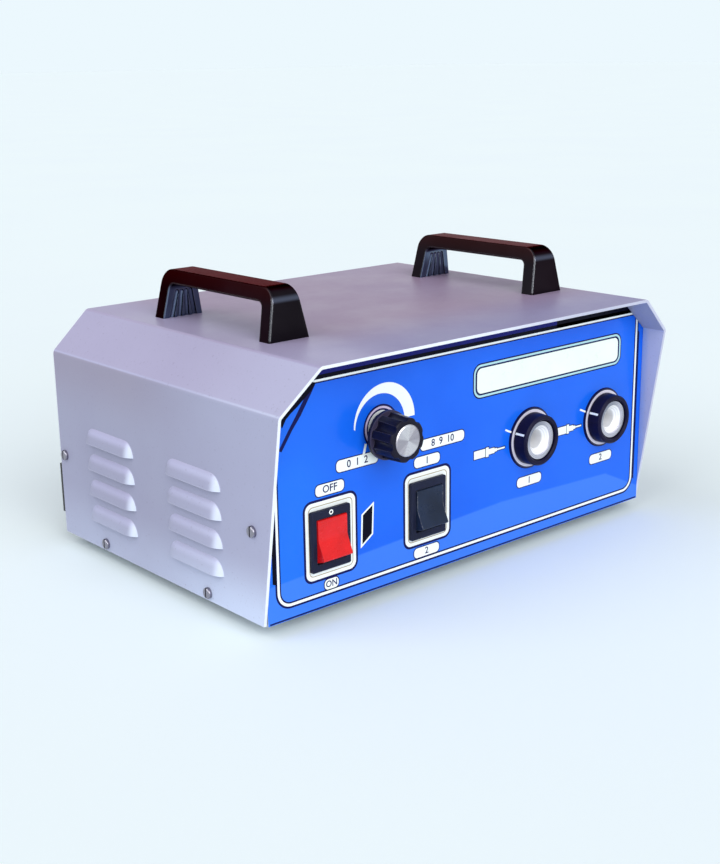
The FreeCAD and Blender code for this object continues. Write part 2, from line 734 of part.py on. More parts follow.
def front_holes(y0, y1):
    """What passes through the front panel and its overlay."""
    holes = []
    for name, x in SWITCHES:
        holes.append(plate_y(rectangle(x, SWITCH_MID_Z, MOUTH_W + 2 * SWITCH_WALL + 2 * SEAM,
                                       MOUTH_H + 2 * SWITCH_WALL + 2 * SEAM), None, y0 - 1, y1 + 1))
    holes.append(rod_y(BUSH_R + SCREW_PLAY, KNOB_X, KNOB_MID_Z, y0 - 1, y1 + 1))
    for name, x in PORTS:
        holes.append(rod_y(SOCKET_R + SCREW_PLAY, x, PORT_MID_Z, y0 - 1, y1 + 1))
    return holes


def make_panels():
    ends = side_screw_places()
    front = panel(PANEL_Y, INSIDE_Y, 1, ends[2:3])
    node("front_panel", front.cut(front_holes(PANEL_Y, INSIDE_Y)).removeSplitter())
    fascia = plate_y(case_points(SHEET + SEAM), None, FACE_Y, PANEL_Y)
    node("fascia", fascia.cut(front_holes(FACE_Y, PANEL_Y)))

    rear = panel(REAR_IN_Y, REAR_Y, -1, ends[3:4])
    y0, y1 = REAR_IN_Y - 1, REAR_Y + 1
    holes = [rod_y(FAN_DUCT_R, FAN_X, FAN_MID_Z, y0, y1)]
    holes += [rod_y(M4_R + SCREW_PLAY, x, z, y0, y1) for x, z in fan_hole_places()]
    holes.append(plate_y(rectangle(INLET_X, INLET_MID_Z, INLET_BODY_W + 2 * SEAM,
                                   INLET_BODY_H + 2 * SEAM), None, y0, y1))
    for x in (INLET_X - INLET_SCREW_PITCH / 2, INLET_X + INLET_SCREW_PITCH / 2):
        holes.append(rod_y(M3_R + TAP_PLAY, x, INLET_MID_Z, y0, y1))
    holes.append(rod_y(FUSE_BODY_R + SCREW_PLAY, FUSE_X, INLET_MID_Z, y0, y1))
    holes += [rod_y(M3_R + SCREW_PLAY, x, z, y0, y1) for x, z in sink_screw_places()]
    z = BASE_Z + SIDE_H - VENT_TOP - VENT_L / 2
    for i in range(VENT_COUNT):
        x = -HALF_W + VENT_IN + i * VENT_PITCH
        holes.append(plate_y(rectangle(x, z, VENT_W, VENT_L), [VENT_END_R] * 4, y0, y1))
    node("rear_panel", rear.cut(holes).removeSplitter())


def make_case_screws():
    screws = []
    for side, inward in ((-1, RIGHT), (1, LEFT)):
        for y, z in side_screw_places():
            screws.append(m3(Vector(side * HALF_W, y, z), inward, COVER_SCREW_L))
    node("cover_screws", *screws)

    top = FLOOR_Z + SEAM + PANEL_T
    node("panel_screws", *[m3(Vector(x, y, top), DOWN, top - BASE_Z) for x, y in panel_screw_places()])

    feet, screws = [], []
    for x, y in foot_places():
        foot = Part.makeCone(FOOT_R - FOOT_TAPER, FOOT_R, FOOT_H, Vector(x, y, 0))
        feet.append(foot.cut([rod_z(M4_HEAD_R + FOOT_WELL_PLAY, x, y, -1, FOOT_WELL),
                              rod_z(M4_R, x, y, FOOT_WELL, FOOT_H + 1)]))
        screws.append(m4(Vector(x, y, FOOT_WELL), UP, FLOOR_Z - FOOT_WELL + FOOT_SCREW_OVER))
    node("rubber_feet", *feet)
    node("foot_screws", *screws)


# ---------------------------------------------------------------- handles
def make_handle(name, x):
    """A moulded bail: two legs that lean in, a bar, sides that taper towards the top."""
    half, mid = HANDLE_L / 2, CORNER_Y + HANDLE_MID
    under = HANDLE_H - HANDLE_BAR_T
    lean_under = HANDLE_LEAN * under / HANDLE_H
    leg = half - HANDLE_LEG_T
    side = [(mid - half, 0), (mid - half + HANDLE_LEAN, HANDLE_H), (mid + half - HANDLE_LEAN, HANDLE_H),
            (mid + half, 0), (mid + leg, 0), (mid + leg - lean_under, under),
            (mid - leg + lean_under, under), (mid - leg, 0)]
    radii = [0, HANDLE_OUT_R, HANDLE_OUT_R, 0, 0, HANDLE_IN_R, HANDLE_IN_R, 0]
    foot = HANDLE_FOOT_W / 2
    bail = bar_x([(y, ROOF_Z + z) for y, z in side], radii, x - foot, x + foot)
    top = HANDLE_TOP_W / 2
    front = [(x - foot, ROOF_Z), (x + foot, ROOF_Z), (x + top, ROOF_Z + HANDLE_H),
             (x - top, ROOF_Z + HANDLE_H)]
    bail = bail.common(plate_y(front, None, mid - half - 1, mid + half + 1))
    edges = [e for e in bail.Edges if outer_edge(e, x, mid)]
    bail = bail.makeFillet(HANDLE_EDGE_R, edges)
    cuts = []
    for sign in (-1, 1):
        start = Vector(x, mid + sign * leg, ROOF_Z)
        end = start + Vector(0, -sign * lean_under, under)
        run = (end - start).normalize()
        pitch = (HANDLE_FOOT_W - 2 * HANDLE_FLUTE_EDGE) / HANDLE_FLUTES
        for i in range(HANDLE_FLUTES):
            side_x = (i - (HANDLE_FLUTES - 1) / 2) * pitch
            tip = side_x * HANDLE_TOP_W / HANDLE_FOOT_W
            a = start + Vector(side_x, 0, 0) - run
            b = end + Vector(tip, 0, 0) - run * (HANDLE_IN_R + HANDLE_FLUTE_R)
            cuts.append(rod(HANDLE_FLUTE_R, a, b).fuse(Part.makeSphere(HANDLE_FLUTE_R, b)))
    for hx, hy in handle_leg_places(x):
        cuts.append(rod_z(M4_R + TAP_PLAY, hx, hy, ROOF_Z - 1, ROOF_Z + HANDLE_SCREW_DEEP + 1))
    return node(name, bail.cut(cuts))


def outer_edge(edge, x, mid):
    """True on the long edges of a handle, those along both flanks, clear of the roof."""
    flank = all(abs(abs(v.X - x) - handle_half(v.Z)) < 0.01 for v in edge.Vertexes)
    along = len({round(v.X > x) for v in edge.Vertexes}) == 1
    low = all(v.Z < ROOF_Z + 0.01 for v in edge.Vertexes)
    return flank and along and not low


def handle_half(z):
    return (HANDLE_FOOT_W - (HANDLE_FOOT_W - HANDLE_TOP_W) * (z - ROOF_Z) / HANDLE_H) / 2


def make_handles():
    screws = []
    for name, x in HANDLES:
        make_handle(name, x)
        for hx, hy in handle_leg_places(x):
            screws.append(m4(Vector(hx, hy, ROOF_Z - SHEET), UP, SHEET + HANDLE_SCREW_DEEP))
    node("handle_screws", *screws)


# ---------------------------------------------------------------- rocker switches
PIVOT_Y = FACE_Y - BEZEL_T + PIVOT_DEEP
SWITCH_WELL_Y = PIVOT_Y + PLUNGER_TIP + 3 * LEVER_GAP + LEVER_T + LEVER_BACK
SWITCH_BACK = SWITCH_WELL_Y + SWITCH_FLOOR
LEVER_Y = PIVOT_Y + PLUNGER_TIP + LEVER_GAP + LEVER_T / 2


def rocker_profile():
    """(y, z) corners about the pivot with the rocker level: a shallow V seen from the side."""
    tilt = math.radians(ROCKER_TILT)
    valley = (PIVOT_DEEP + ROCKER_PROUD) / math.cos(tilt)
    end = valley + ROCKER_REACH * math.tan(tilt)
    hip, toe = ROCKER_REACH + ROCKER_HIP, ROCKER_REACH - ROCKER_TOE
    return [(-end, -ROCKER_REACH), (-valley, 0), (-end, ROCKER_REACH), (0, hip),
            (ROCKER_SKIRT, toe), (ROCKER_SKIRT, -toe), (0, -hip)]


def make_switch(name, x):
    z = SWITCH_MID_Z
    half_w = MOUTH_W / 2 - ROCKER_GAP
    points = [(PIVOT_Y + y, z + dz) for y, dz in rocker_profile()]
    radii = [ROCKER_EDGE_R, ROCKER_VALLEY_R, ROCKER_EDGE_R, 0, ROCKER_TOE_R, ROCKER_TOE_R, 0]
    rocker = bar_x(points, radii, x - half_w, x + half_w)
    pin = half_w + PIVOT_L
    rocker = rocker.fuse([
        rod(PIVOT_R, Vector(x - pin, PIVOT_Y, z), Vector(x + pin, PIVOT_Y, z)),
        rod_y(PLUNGER_R, x, z, PIVOT_Y, PIVOT_Y + PLUNGER_TIP),
        rod_y(PLUNGER_ROOT_R, x, z, PIVOT_Y, PIVOT_Y + PLUNGER_ROOT_L)])
    rocker.rotate(Vector(x, PIVOT_Y, z), RIGHT, -ROCKER_TILT)
    node(name + "_rocker", rocker)

    front = FACE_Y - BEZEL_T
    bezel = plate_y(rectangle(x, z, BEZEL_W, BEZEL_H), [BEZEL_R] * 4, front, FACE_Y)
    rim = [e for e in bezel.Edges if abs(e.CenterOfMass.y - front) < 0.01]
    bezel = bezel.makeChamfer(BEZEL_EDGE, rim)
    wall_w, wall_h = MOUTH_W + 2 * SWITCH_WALL, MOUTH_H + 2 * SWITCH_WALL
    body = bezel.fuse(plate_y(rectangle(x, z, wall_w, wall_h), None, FACE_Y, SWITCH_BACK))
    deep = PIVOT_Y + ROCKER_SKIRT + ROCKER_WELL
    lever_well = LEVER_W / 2 + LEVER_WELL
    lever_pin = lever_well + LEVER_PIN_L
    cuts = [plate_y(rectangle(x, z, MOUTH_W, MOUTH_H), None, front - 1, deep),
            plate_y(rectangle(x, z, 2 * lever_well, LEVER_L + 2 * LEVER_WELL), None, deep - 1,
                    SWITCH_WELL_Y),
            rod(LEVER_PIN_R + FIT_PLAY, Vector(x - lever_pin - ROCKER_GAP, LEVER_Y, z),
                Vector(x + lever_pin + ROCKER_GAP, LEVER_Y, z)),
            rod(PIVOT_R + FIT_PLAY, Vector(x - pin - ROCKER_GAP, PIVOT_Y, z),
                Vector(x + pin + ROCKER_GAP, PIVOT_Y, z))]
    cuts += [box(x - BLADE_W / 2, x + BLADE_W / 2, SWITCH_WELL_Y - 1, SWITCH_BACK + 1,
                 z + i * BLADE_PITCH - BLADE_T / 2, z + i * BLADE_PITCH + BLADE_T / 2)
             for i in (-1, 0, 1)]
    node(name + "_switch_body", body.cut(cuts).removeSplitter())

    half = LEVER_L / 2
    lever = box(x - LEVER_W / 2, x + LEVER_W / 2, LEVER_Y - LEVER_T / 2, LEVER_Y + LEVER_T / 2,
                z - half, z + half)
    lever = lever.fuse(rod(LEVER_PIN_R, Vector(x - lever_pin, LEVER_Y, z), Vector(x + lever_pin, LEVER_Y, z)))
    lever.rotate(Vector(x, LEVER_Y, z), RIGHT, ROCKER_TILT * -LEVER_RATIO)
    node(name + "_contact_lever", lever)

    swing = half * math.sin(math.radians(ROCKER_TILT * -LEVER_RATIO))
    blades = []
    for i in (-1, 0, 1):
        bz = z + i * BLADE_PITCH
        start = LEVER_Y + LEVER_T / 2 + LEVER_GAP + abs(i) * swing
        blades.append(box(x - BLADE_W / 2, x + BLADE_W / 2, start, SWITCH_BACK + BLADE_OUT,
                          bz - BLADE_T / 2, bz + BLADE_T / 2))
    return blades


def make_switches():
    blades = []
    for name, x in SWITCHES:
        blades += make_switch(name, x)
    node("switch_terminals", *blades)


# ---------------------------------------------------------------- intensity control
def sector_y(x, z, r0, r1, y0, y1, middle, width):
    """Part of a ring about an axis along Y: middle and width are degrees, from +X towards +Z."""
    a0, a1 = math.radians(middle - width / 2), math.radians(middle + width / 2)

    def at(radius, angle):
        return Vector(x + radius * math.cos(angle), y0, z + radius * math.sin(angle))

    am = (a0 + a1) / 2
    edges = [Part.Arc(at(r1, a0), at(r1, am), at(r1, a1)).toShape(),
             Part.makeLine(at(r1, a1), at(r0, a1)),
             Part.Arc(at(r0, a1), at(r0, am), at(r0, a0)).toShape(),
             Part.makeLine(at(r0, a0), at(r1, a0))]
    return Part.Face(Part.Wire(edges)).extrude(Vector(0, y1 - y0, 0))


def make_knob():
    x, z = KNOB_X, KNOB_MID_Z
    front, rear = FACE_Y - KNOB_PROUD, FACE_Y - KNOB_LIFT
    face = front + CAP_PROUD
    shoulder = rear - KNOB_SKIRT
    grip = turned_y([(0, face), (KNOB_FRONT_R, face), (KNOB_R, shoulder), (KNOB_R, rear), (0, rear)], x, z)
    rim = [e for e in grip.Edges if abs(e.CenterOfMass.y - face) < 0.01 and e.Length > KNOB_R]
    body = grip.makeFillet(KNOB_RIM_R, rim).fuse(rod_y(KNOB_SKIRT_R, x, z, shoulder, rear))
    scoops = []
    for i in range(KNOB_FLUTES):
        angle = math.radians(KNOB_FLUTE_AT + i * 360 / KNOB_FLUTES)
        reach = KNOB_R - KNOB_FLUTE_DEEP + KNOB_FLUTE_R
        scoops.append(rod_y(KNOB_FLUTE_R, x + reach * math.cos(angle), z + reach * math.sin(angle),
                            face - 1, shoulder))
    shaft_front = rear - KNOB_HOLLOW - SHAFT_IN_KNOB
    grub = shaft_front + SHAFT_IN_KNOB / 2
    cuts = scoops + [rod_y(KNOB_HOLLOW_R, x, z, rear - KNOB_HOLLOW, rear + 1),
                     rod_y(SHAFT_R + PUSH_PLAY, x, z, shaft_front, rear),
                     rod_y(CAP_R + FIT_PLAY, x, z, face - 1, front + CAP_T),
                     rod(SET_SCREW_R + TAP_PLAY, Vector(x, grub, z - KNOB_R - 1), Vector(x, grub, z))]
    node("intensity_knob", body.cut(cuts))

    cap = turned_y([(0, front), (CAP_R - CAP_EDGE, front), (CAP_R, front + CAP_EDGE_T),
                    (CAP_R, front + CAP_T), (0, front + CAP_T)], x, z)
    node("knob_cap", cap)
    end = z - SHAFT_R - FIT_PLAY
    start = Vector(x, grub, end - SET_SCREW_L)
    grub_screw = rod(SET_SCREW_R, start, Vector(x, grub, end))
    node("knob_set_screw", grub_screw.cut(Part.makeCylinder(SET_HEX_R, SET_HEX_DEEP, start)))

    back = INSIDE_Y + POT_D
    cavity = INSIDE_Y + POT_WALL
    rotor_y = cavity + 2 * ROCKER_GAP
    pot = turned_y([(SHAFT_R + FIT_PLAY, FACE_Y - BUSH_OUT), (BUSH_R, FACE_Y - BUSH_OUT),
                    (BUSH_R, INSIDE_Y), (POT_R, INSIDE_Y), (POT_R, back), (0, back),
                    (0, back - POT_WALL), (POT_R - POT_WALL, back - POT_WALL),
                    (POT_R - POT_WALL, cavity), (SHAFT_R + FIT_PLAY, cavity)], x, z)
    stop_width = 360 - KNOB_TRAVEL - STOP_TAB - 2 * STOP_PLAY
    inner, outer = SHAFT_R + ROTOR_LAND, POT_R - POT_WALL
    # The tab rests just past the stop and turns clockwise, as seen from the front, to its other side.
    pot = pot.fuse(sector_y(x, z, inner, outer + SEAM, cavity - SEAM, rotor_y + 2 * ROTOR_T, 270,
                            stop_width))
    tags = []
    for i in (-1, 0, 1):
        tag_x, tag_y = x + i * POT_TAG_PITCH, INSIDE_Y + POT_TAG_BACK
        root = z - math.sqrt((POT_R - POT_WALL / 2) ** 2 - (i * POT_TAG_PITCH) ** 2)
        tags.append(box(tag_x - POT_TAG_W / 2, tag_x + POT_TAG_W / 2, tag_y, tag_y + POT_TAG_T,
                        z - POT_R - POT_TAG_L, root))
    node("pot_body", pot.fuse(tags))
    node("pot_nut", hexagon_y(POT_NUT_AF, x, z, FACE_Y - POT_NUT_T, FACE_Y)
         .cut(rod_y(BUSH_R + TAP_PLAY, x, z, FACE_Y - POT_NUT_T - 1, FACE_Y + 1)))
    shaft = rod_y(SHAFT_R, x, z, shaft_front + SHAFT_END, rotor_y + ROTOR_T)
    rotor = rod_y(inner - ROCKER_GAP, x, z, rotor_y, rotor_y + ROTOR_T)
    tab_middle = 270 - stop_width / 2 - STOP_PLAY - STOP_TAB / 2
    tab = sector_y(x, z, inner - TAB_ROOT, outer - ROCKER_GAP, rotor_y, rotor_y + ROTOR_T, tab_middle,
                   STOP_TAB)
    node("pot_shaft", shaft.fuse([rotor, tab]))


# ---------------------------------------------------------------- light ports
COLLAR_REAR_Y = FACE_Y - RING_T - COLLAR_GAP
LIP_Y = FACE_Y - DISC_PROUD + DISC_T + COLLAR_GAP       # front of the collar's inner lip
PIN_Y = (LIP_Y + COLLAR_REAR_Y) / 2
CAM_STEP = LOCK_STROKE / math.radians(LOCK_TURN)        # pin travel for each radian of the collar


def cam_pocket(x, z):
    """The spiral pocket that pushes the pin in as the collar turns clockwise."""
    low, high = math.radians(-CAM_LEAD), math.radians(LOCK_TURN + CAM_OVER)
    steps = 12
    y0, y1 = PIN_Y - PIN_R - COLLAR_GAP, PIN_Y + PIN_R + COLLAR_GAP
    start = math.radians(LOCK_ANGLE)

    def at(radius, turn):
        return Vector(x + radius * math.cos(start + turn), y0, z + radius * math.sin(start + turn))

    turns = [low + (high - low) * i / steps for i in range(steps + 1)]
    spiral = Part.BSplineCurve()
    spiral.interpolate([at(PIN_END + CAM_GAP - CAM_STEP * turn, turn) for turn in turns])
    inner = SOCKET_R - CAM_IN
    edges = [spiral.toShape(), Part.makeLine(at(PIN_END + CAM_GAP - CAM_STEP * high, high), at(inner, high)),
             Part.makeLine(at(inner, high), at(inner, low)),
             Part.makeLine(at(inner, low), at(PIN_END + CAM_GAP - CAM_STEP * low, low))]
    return Part.Face(Part.Wire(edges)).extrude(Vector(0, y1 - y0, 0))


def make_port(name, x):
    z = PORT_MID_Z
    disc_y = FACE_Y - DISC_PROUD
    tail = INSIDE_Y + SOCKET_BACK
    cone_y = disc_y + PORT_STEP
    profile = [(PORT_STEP_R, disc_y), (DISC_R - DISC_EDGE, disc_y), (DISC_R, disc_y + DISC_EDGE),
               (DISC_R, disc_y + DISC_T), (SOCKET_R, disc_y + DISC_T), (SOCKET_R, tail),
               (PORT_BORE_R, tail), (PORT_BORE_R, cone_y + PORT_CONE), (PORT_CONE_R, cone_y),
               (PORT_STEP_R, cone_y)]
    out = Vector(math.cos(math.radians(LOCK_ANGLE)), 0, math.sin(math.radians(LOCK_ANGLE)))
    hub = Vector(x, PIN_Y, z)
    socket = turned_y(profile, x, z).cut(rod(PIN_R + FIT_PLAY, hub, hub + out * (SOCKET_R + 1)))
    node("port_socket_" + name, socket)

    pin = rod(PIN_R, hub + out * PIN_TIP, hub + out * (PIN_END - PIN_R))
    pin = pin.fuse(Part.makeSphere(PIN_R, hub + out * (PIN_END - PIN_R)))
    node("lock_pin_" + name, pin)

    front = FACE_Y - COLLAR_PROUD
    inner, mouth = SOCKET_R + FIT_PLAY, DISC_R + COLLAR_GAP
    profile = [(inner, COLLAR_REAR_Y), (COLLAR_R, COLLAR_REAR_Y), (COLLAR_FRONT_R, front + COLLAR_EDGE),
               (COLLAR_FRONT_R - COLLAR_EDGE_W, front), (mouth + MOUTH_EDGE, front),
               (mouth, front + MOUTH_EDGE), (mouth, LIP_Y), (inner, LIP_Y)]
    groove = sector_y(x, z, PEG_AT - PEG_R - COLLAR_GAP, PEG_AT + PEG_R + COLLAR_GAP,
                      COLLAR_REAR_Y - PEG_L - COLLAR_GAP, COLLAR_REAR_Y + 1,
                      LOCK_ANGLE + 180 + LOCK_TURN / 2,
                      LOCK_TURN + 2 * math.degrees((PEG_R + COLLAR_GAP) / PEG_AT))
    node("lock_collar_" + name, turned_y(profile, x, z).cut([cam_pocket(x, z), groove]))

    ring = tube_y(RING_R, SOCKET_R + SCREW_PLAY, x, z, FACE_Y - RING_T, FACE_Y)
    peg = Vector(x, 0, z) - out * PEG_AT
    ring = ring.fuse(rod_y(PEG_R, peg.x, peg.z, COLLAR_REAR_Y - PEG_L, FACE_Y - RING_T / 2))
    nut = hexagon_y(PORT_NUT_AF, x, z, INSIDE_Y, INSIDE_Y + PORT_NUT_T)
    return ring, nut.cut(rod_y(SOCKET_R + TAP_PLAY, x, z, INSIDE_Y - 1, INSIDE_Y + PORT_NUT_T + 1))


def make_ports():
    rings, nuts = zip(*[make_port(name, x) for name, x in PORTS])
    node("port_rings", *rings)
    node("port_nuts", *nuts)


# ---------------------------------------------------------------- lamps
def make_reflector(x, z):
    """A dichroic reflector facing the port: rim, bowl and neck, open along its axis."""
    rim_front, bowl = LAMP_Y - REFLECTOR_RIM, REFLECTOR_R - REFLECTOR_LAND
    bottom, tail = LAMP_Y + REFLECTOR_D, LAMP_Y + REFLECTOR_D + NECK_L
    bore = CAPSULE_R

    def at(radius, y):
        return Vector(x + radius, y, z)

    def bowed(r0, y0, r1, y1, bow):
        return Part.Arc(at(r0, y0), at((r0 + r1) / 2 + bow, (y0 + y1) / 2 + bow), at(r1, y1)).toShape()

    inner_rim = bowl - REFLECTOR_T
    edges = [Part.makeLine(at(inner_rim, rim_front), at(REFLECTOR_R, rim_front)),
             Part.makeLine(at(REFLECTOR_R, rim_front), at(REFLECTOR_R, LAMP_Y)),
             Part.makeLine(at(REFLECTOR_R, LAMP_Y), at(bowl, LAMP_Y)),
             bowed(bowl, LAMP_Y, NECK_R, bottom, REFLECTOR_BOW),
             Part.makeLine(at(NECK_R, bottom), at(NECK_R, tail)),
             Part.makeLine(at(NECK_R, tail), at(bore, tail)),
             Part.makeLine(at(bore, tail), at(bore, bottom - REFLECTOR_T)),
             bowed(bore, bottom - REFLECTOR_T, inner_rim, rim_front, REFLECTOR_BOW)]
    face = Part.Face(Part.Wire(edges))
    return face.revolve(Vector(x, 0, z), BACK, 360)


def make_lamps():
    z = PORT_MID_Z
    x0, x1 = PORT_A_X - BRACKET_SIDE, PORT_B_X + BRACKET_SIDE
    y0, y1 = FACE_Y + FILTER_PLATE, LAMP_Y + PANEL_T
    top = z + BRACKET_UP
    bracket = box(x0, x1, y0, y1, FLOOR_Z, top).cut(
        box(x0 - 1, x1 + 1, y0 + PANEL_T, LAMP_Y, FLOOR_Z + PANEL_T, top + 1))
    holes = [rod_z(M3_R + SCREW_PLAY, x, y, FLOOR_Z - 1, FLOOR_Z + 2 * PANEL_T)
             for x, y in bracket_screw_places()]
    reflectors, capsules, sockets, filters, retainers = [], [], [], [], []
    for name, x in PORTS:
        holes.append(rod_y(WINDOW_R, x, z, y0 - 1, y0 + PANEL_T + 1))
        holes.append(rod_y(REFLECTOR_R - REFLECTOR_LAND + LAMP_PLAY, x, z, LAMP_Y - 1, y1 + 1))
        reflectors.append(make_reflector(x, z))
        base = LAMP_Y + REFLECTOR_D + NECK_L
        nose = base - NECK_L - CAPSULE_L + CAPSULE_R
        capsule = rod_y(CAPSULE_R, x, z, nose, base - CAPSULE_SHY)
        capsule = capsule.fuse(Part.makeSphere(CAPSULE_R, Vector(x, nose, z)))
        root = base - CAPSULE_SHY - LAMP_PIN_ROOT
        for side in (-1, 1):
            px = x + side * LAMP_PIN_GAP
            capsule = capsule.fuse(rod_y(LAMP_PIN_R, px, z, root, base + LAMP_PIN_L))
        capsules.append(capsule)
        pins = [rod_y(LAMP_PIN_R + FIT_PLAY, x + side * LAMP_PIN_GAP, z, base - 1, base + LAMP_PIN_L + 1)
                for side in (-1, 1)]
        sockets.append(plate_y(rectangle(x, z, LAMP_SOCKET_W, LAMP_SOCKET_H), [LAMP_SOCKET_R] * 4,
                               base + SEAM, base + LAMP_SOCKET_L).cut(pins))
        filters.append(plate_y(rectangle(x, z, FILTER_SIZE, FILTER_SIZE), [FILTER_R] * 4,
                               y0 + PANEL_T, y0 + PANEL_T + FILTER_T))
        front = LAMP_Y - REFLECTOR_RIM - RETAINER_T
        lip, seat = REFLECTOR_R - RETAINER_LIP, REFLECTOR_R + LAMP_PLAY
        retainers.append(turned_y([(lip, front), (RETAINER_R, front), (RETAINER_R, LAMP_Y), (seat, LAMP_Y),
                                   (seat, front + RETAINER_T), (lip, front + RETAINER_T)], x, z))
    node("lamp_bracket", bracket.cut(holes))
    node("lamp_reflectors", *reflectors)
    node("lamp_capsules", *capsules)
    node("lamp_sockets", *sockets)
    node("heat_filters", *filters)
    node("lamp_retainers", *retainers)


def bracket_screw_places():
    spread = PORT_PITCH / 2 + BRACKET_SIDE - BRACKET_SCREW_IN
    return [(PORTS_MID_X + i * spread, BRACKET_FOOT_Y) for i in (-1, 0, 1)]


# ---------------------------------------------------------------- fan
FAN_Y = REAR_IN_Y - FAN_T


def fan_hole_places():
    half = FAN_HOLES / 2
    return [(FAN_X + sx * half, FAN_MID_Z + sz * half) for sx in (-1, 1) for sz in (-1, 1)]


def make_fan():
    x, z = FAN_X, FAN_MID_Z
    corner = [FAN_CORNER] * 4
    flange = plate_y(rectangle(x, z, FAN_SIZE, FAN_SIZE), corner, FAN_Y, FAN_Y + FAN_FLANGE)
    back = plate_y(rectangle(x, z, FAN_SIZE, FAN_SIZE), corner, REAR_IN_Y - FAN_FLANGE, REAR_IN_Y)
    tube = rod_y(FAN_DUCT_R + FAN_TUBE_T, x, z, FAN_Y, REAR_IN_Y)
    frame = flange.fuse([back, tube]).cut(
        [rod_y(FAN_DUCT_R, x, z, FAN_Y - 1, REAR_IN_Y + 1)]
        + [rod_y(M4_R + SCREW_PLAY, hx, hz, FAN_Y - 1, REAR_IN_Y + 1) for hx, hz in fan_hole_places()])
    stator_y = REAR_IN_Y - STATOR_L
    reach = FAN_DUCT_R + FAN_TUBE_T / 2
    struts = [rod_y(FAN_HUB_R - STATOR_IN, x, z, stator_y, REAR_IN_Y)]
    for angle in (45, 135, 225, 315):
        strut = box(x, x + reach, REAR_IN_Y - STRUT_T, REAR_IN_Y, z - STRUT_W / 2, z + STRUT_W / 2)
        strut.rotate(Vector(x, 0, z), BACK, angle)
        struts.append(strut)
    shaft_hole = rod_y(FAN_SHAFT_R + FIT_PLAY, x, z, stator_y - 1, REAR_IN_Y - FAN_SHAFT_SHY / 2)
    frame = frame.fuse(struts).cut(shaft_hole)
    node("fan_frame", frame.removeSplitter())

    hub_y, hub_end = FAN_Y + FAN_FRONT_GAP, FAN_Y + FAN_FRONT_GAP + FAN_HUB_L
    hub = rod_y(FAN_HUB_R, x, z, hub_y, hub_end)
    hub = hub.cut(rod_y(FAN_HUB_R - FAN_HUB_WALL, x, z, hub_y + FAN_HUB_FACE, hub_end + 1))
    pieces = [rod_y(FAN_SHAFT_R, x, z, hub_y, REAR_IN_Y - FAN_SHAFT_SHY),
              rod_y(FAN_BOSS_R, x, z, hub_y, hub_end - FAN_HUB_FACE)]
    zone = tube_y(FAN_TIP_R, FAN_HUB_R - STATOR_IN, x, z, hub_y + FAN_BLADE_IN, hub_end - FAN_BLADE_IN)
    chord = FAN_HUB_L / math.sin(math.radians(FAN_PITCH))
    for i in range(FAN_BLADES):
        blade = box(x + FAN_HUB_R - 2, x + FAN_TIP_R + 2, -chord / 2, chord / 2,
                    z - FAN_BLADE_T / 2, z + FAN_BLADE_T / 2)
        blade.rotate(Vector(x, 0, z), RIGHT, 90 - FAN_PITCH)
        blade.translate(Vector(0, (hub_y + hub_end) / 2, 0))
        blade.rotate(Vector(x, 0, z), BACK, i * 360 / FAN_BLADES)
        pieces.append(blade.common(zone))
    node("fan_impeller", hub.fuse(pieces))

    spoke_y = REAR_Y + GUARD_EYE_T / 2
    centre = Vector(x, spoke_y + GUARD_LAP, z)
    step = (FAN_DUCT_R - GUARD_INSET - GUARD_CORE_R) / (GUARD_RINGS - 1)
    wires = [Part.makeTorus(GUARD_CORE_R + i * step, GUARD_WIRE, centre, BACK) for i in range(GUARD_RINGS)]
    spoke = math.hypot(FAN_HOLES, FAN_HOLES) / 2
    eyes = []
    for hx, hz in fan_hole_places():
        out = (Vector(hx, 0, hz) - Vector(x, 0, z)).normalize()
        start = Vector(x, spoke_y, z) + out * (GUARD_CORE_R - GUARD_WIRE)
        wires.append(rod(GUARD_WIRE, start, Vector(x, spoke_y, z) + out * (spoke - GUARD_EYE_R * 0.7)))
        eyes.append(tube_y(GUARD_EYE_R, M4_R + SCREW_PLAY, hx, hz, REAR_Y, REAR_Y + GUARD_EYE_T))
    node("fan_guard", wires[0].fuse(wires[1:] + eyes))
    node("fan_screws", *[m4(Vector(hx, REAR_Y + GUARD_EYE_T, hz), FORWARD,
                             FAN_T + PANEL_T + FAN_SCREW_OVER)
                         for hx, hz in fan_hole_places()])


# ---------------------------------------------------------------- heat sink, inlet, fuse
SINK_X0 = -HALF_W + SINK_LEFT
SINK_Z0 = BASE_Z + SINK_LOW


def sink_screw_places():
    gap = (SINK_W - FIN_T) / (SINK_FINS - 1)
    z = SINK_Z0 + SINK_H / 2
    return [(SINK_X0 + FIN_T / 2 + gap * (i + 0.5), z) for i in (1, SINK_FINS - 3)]


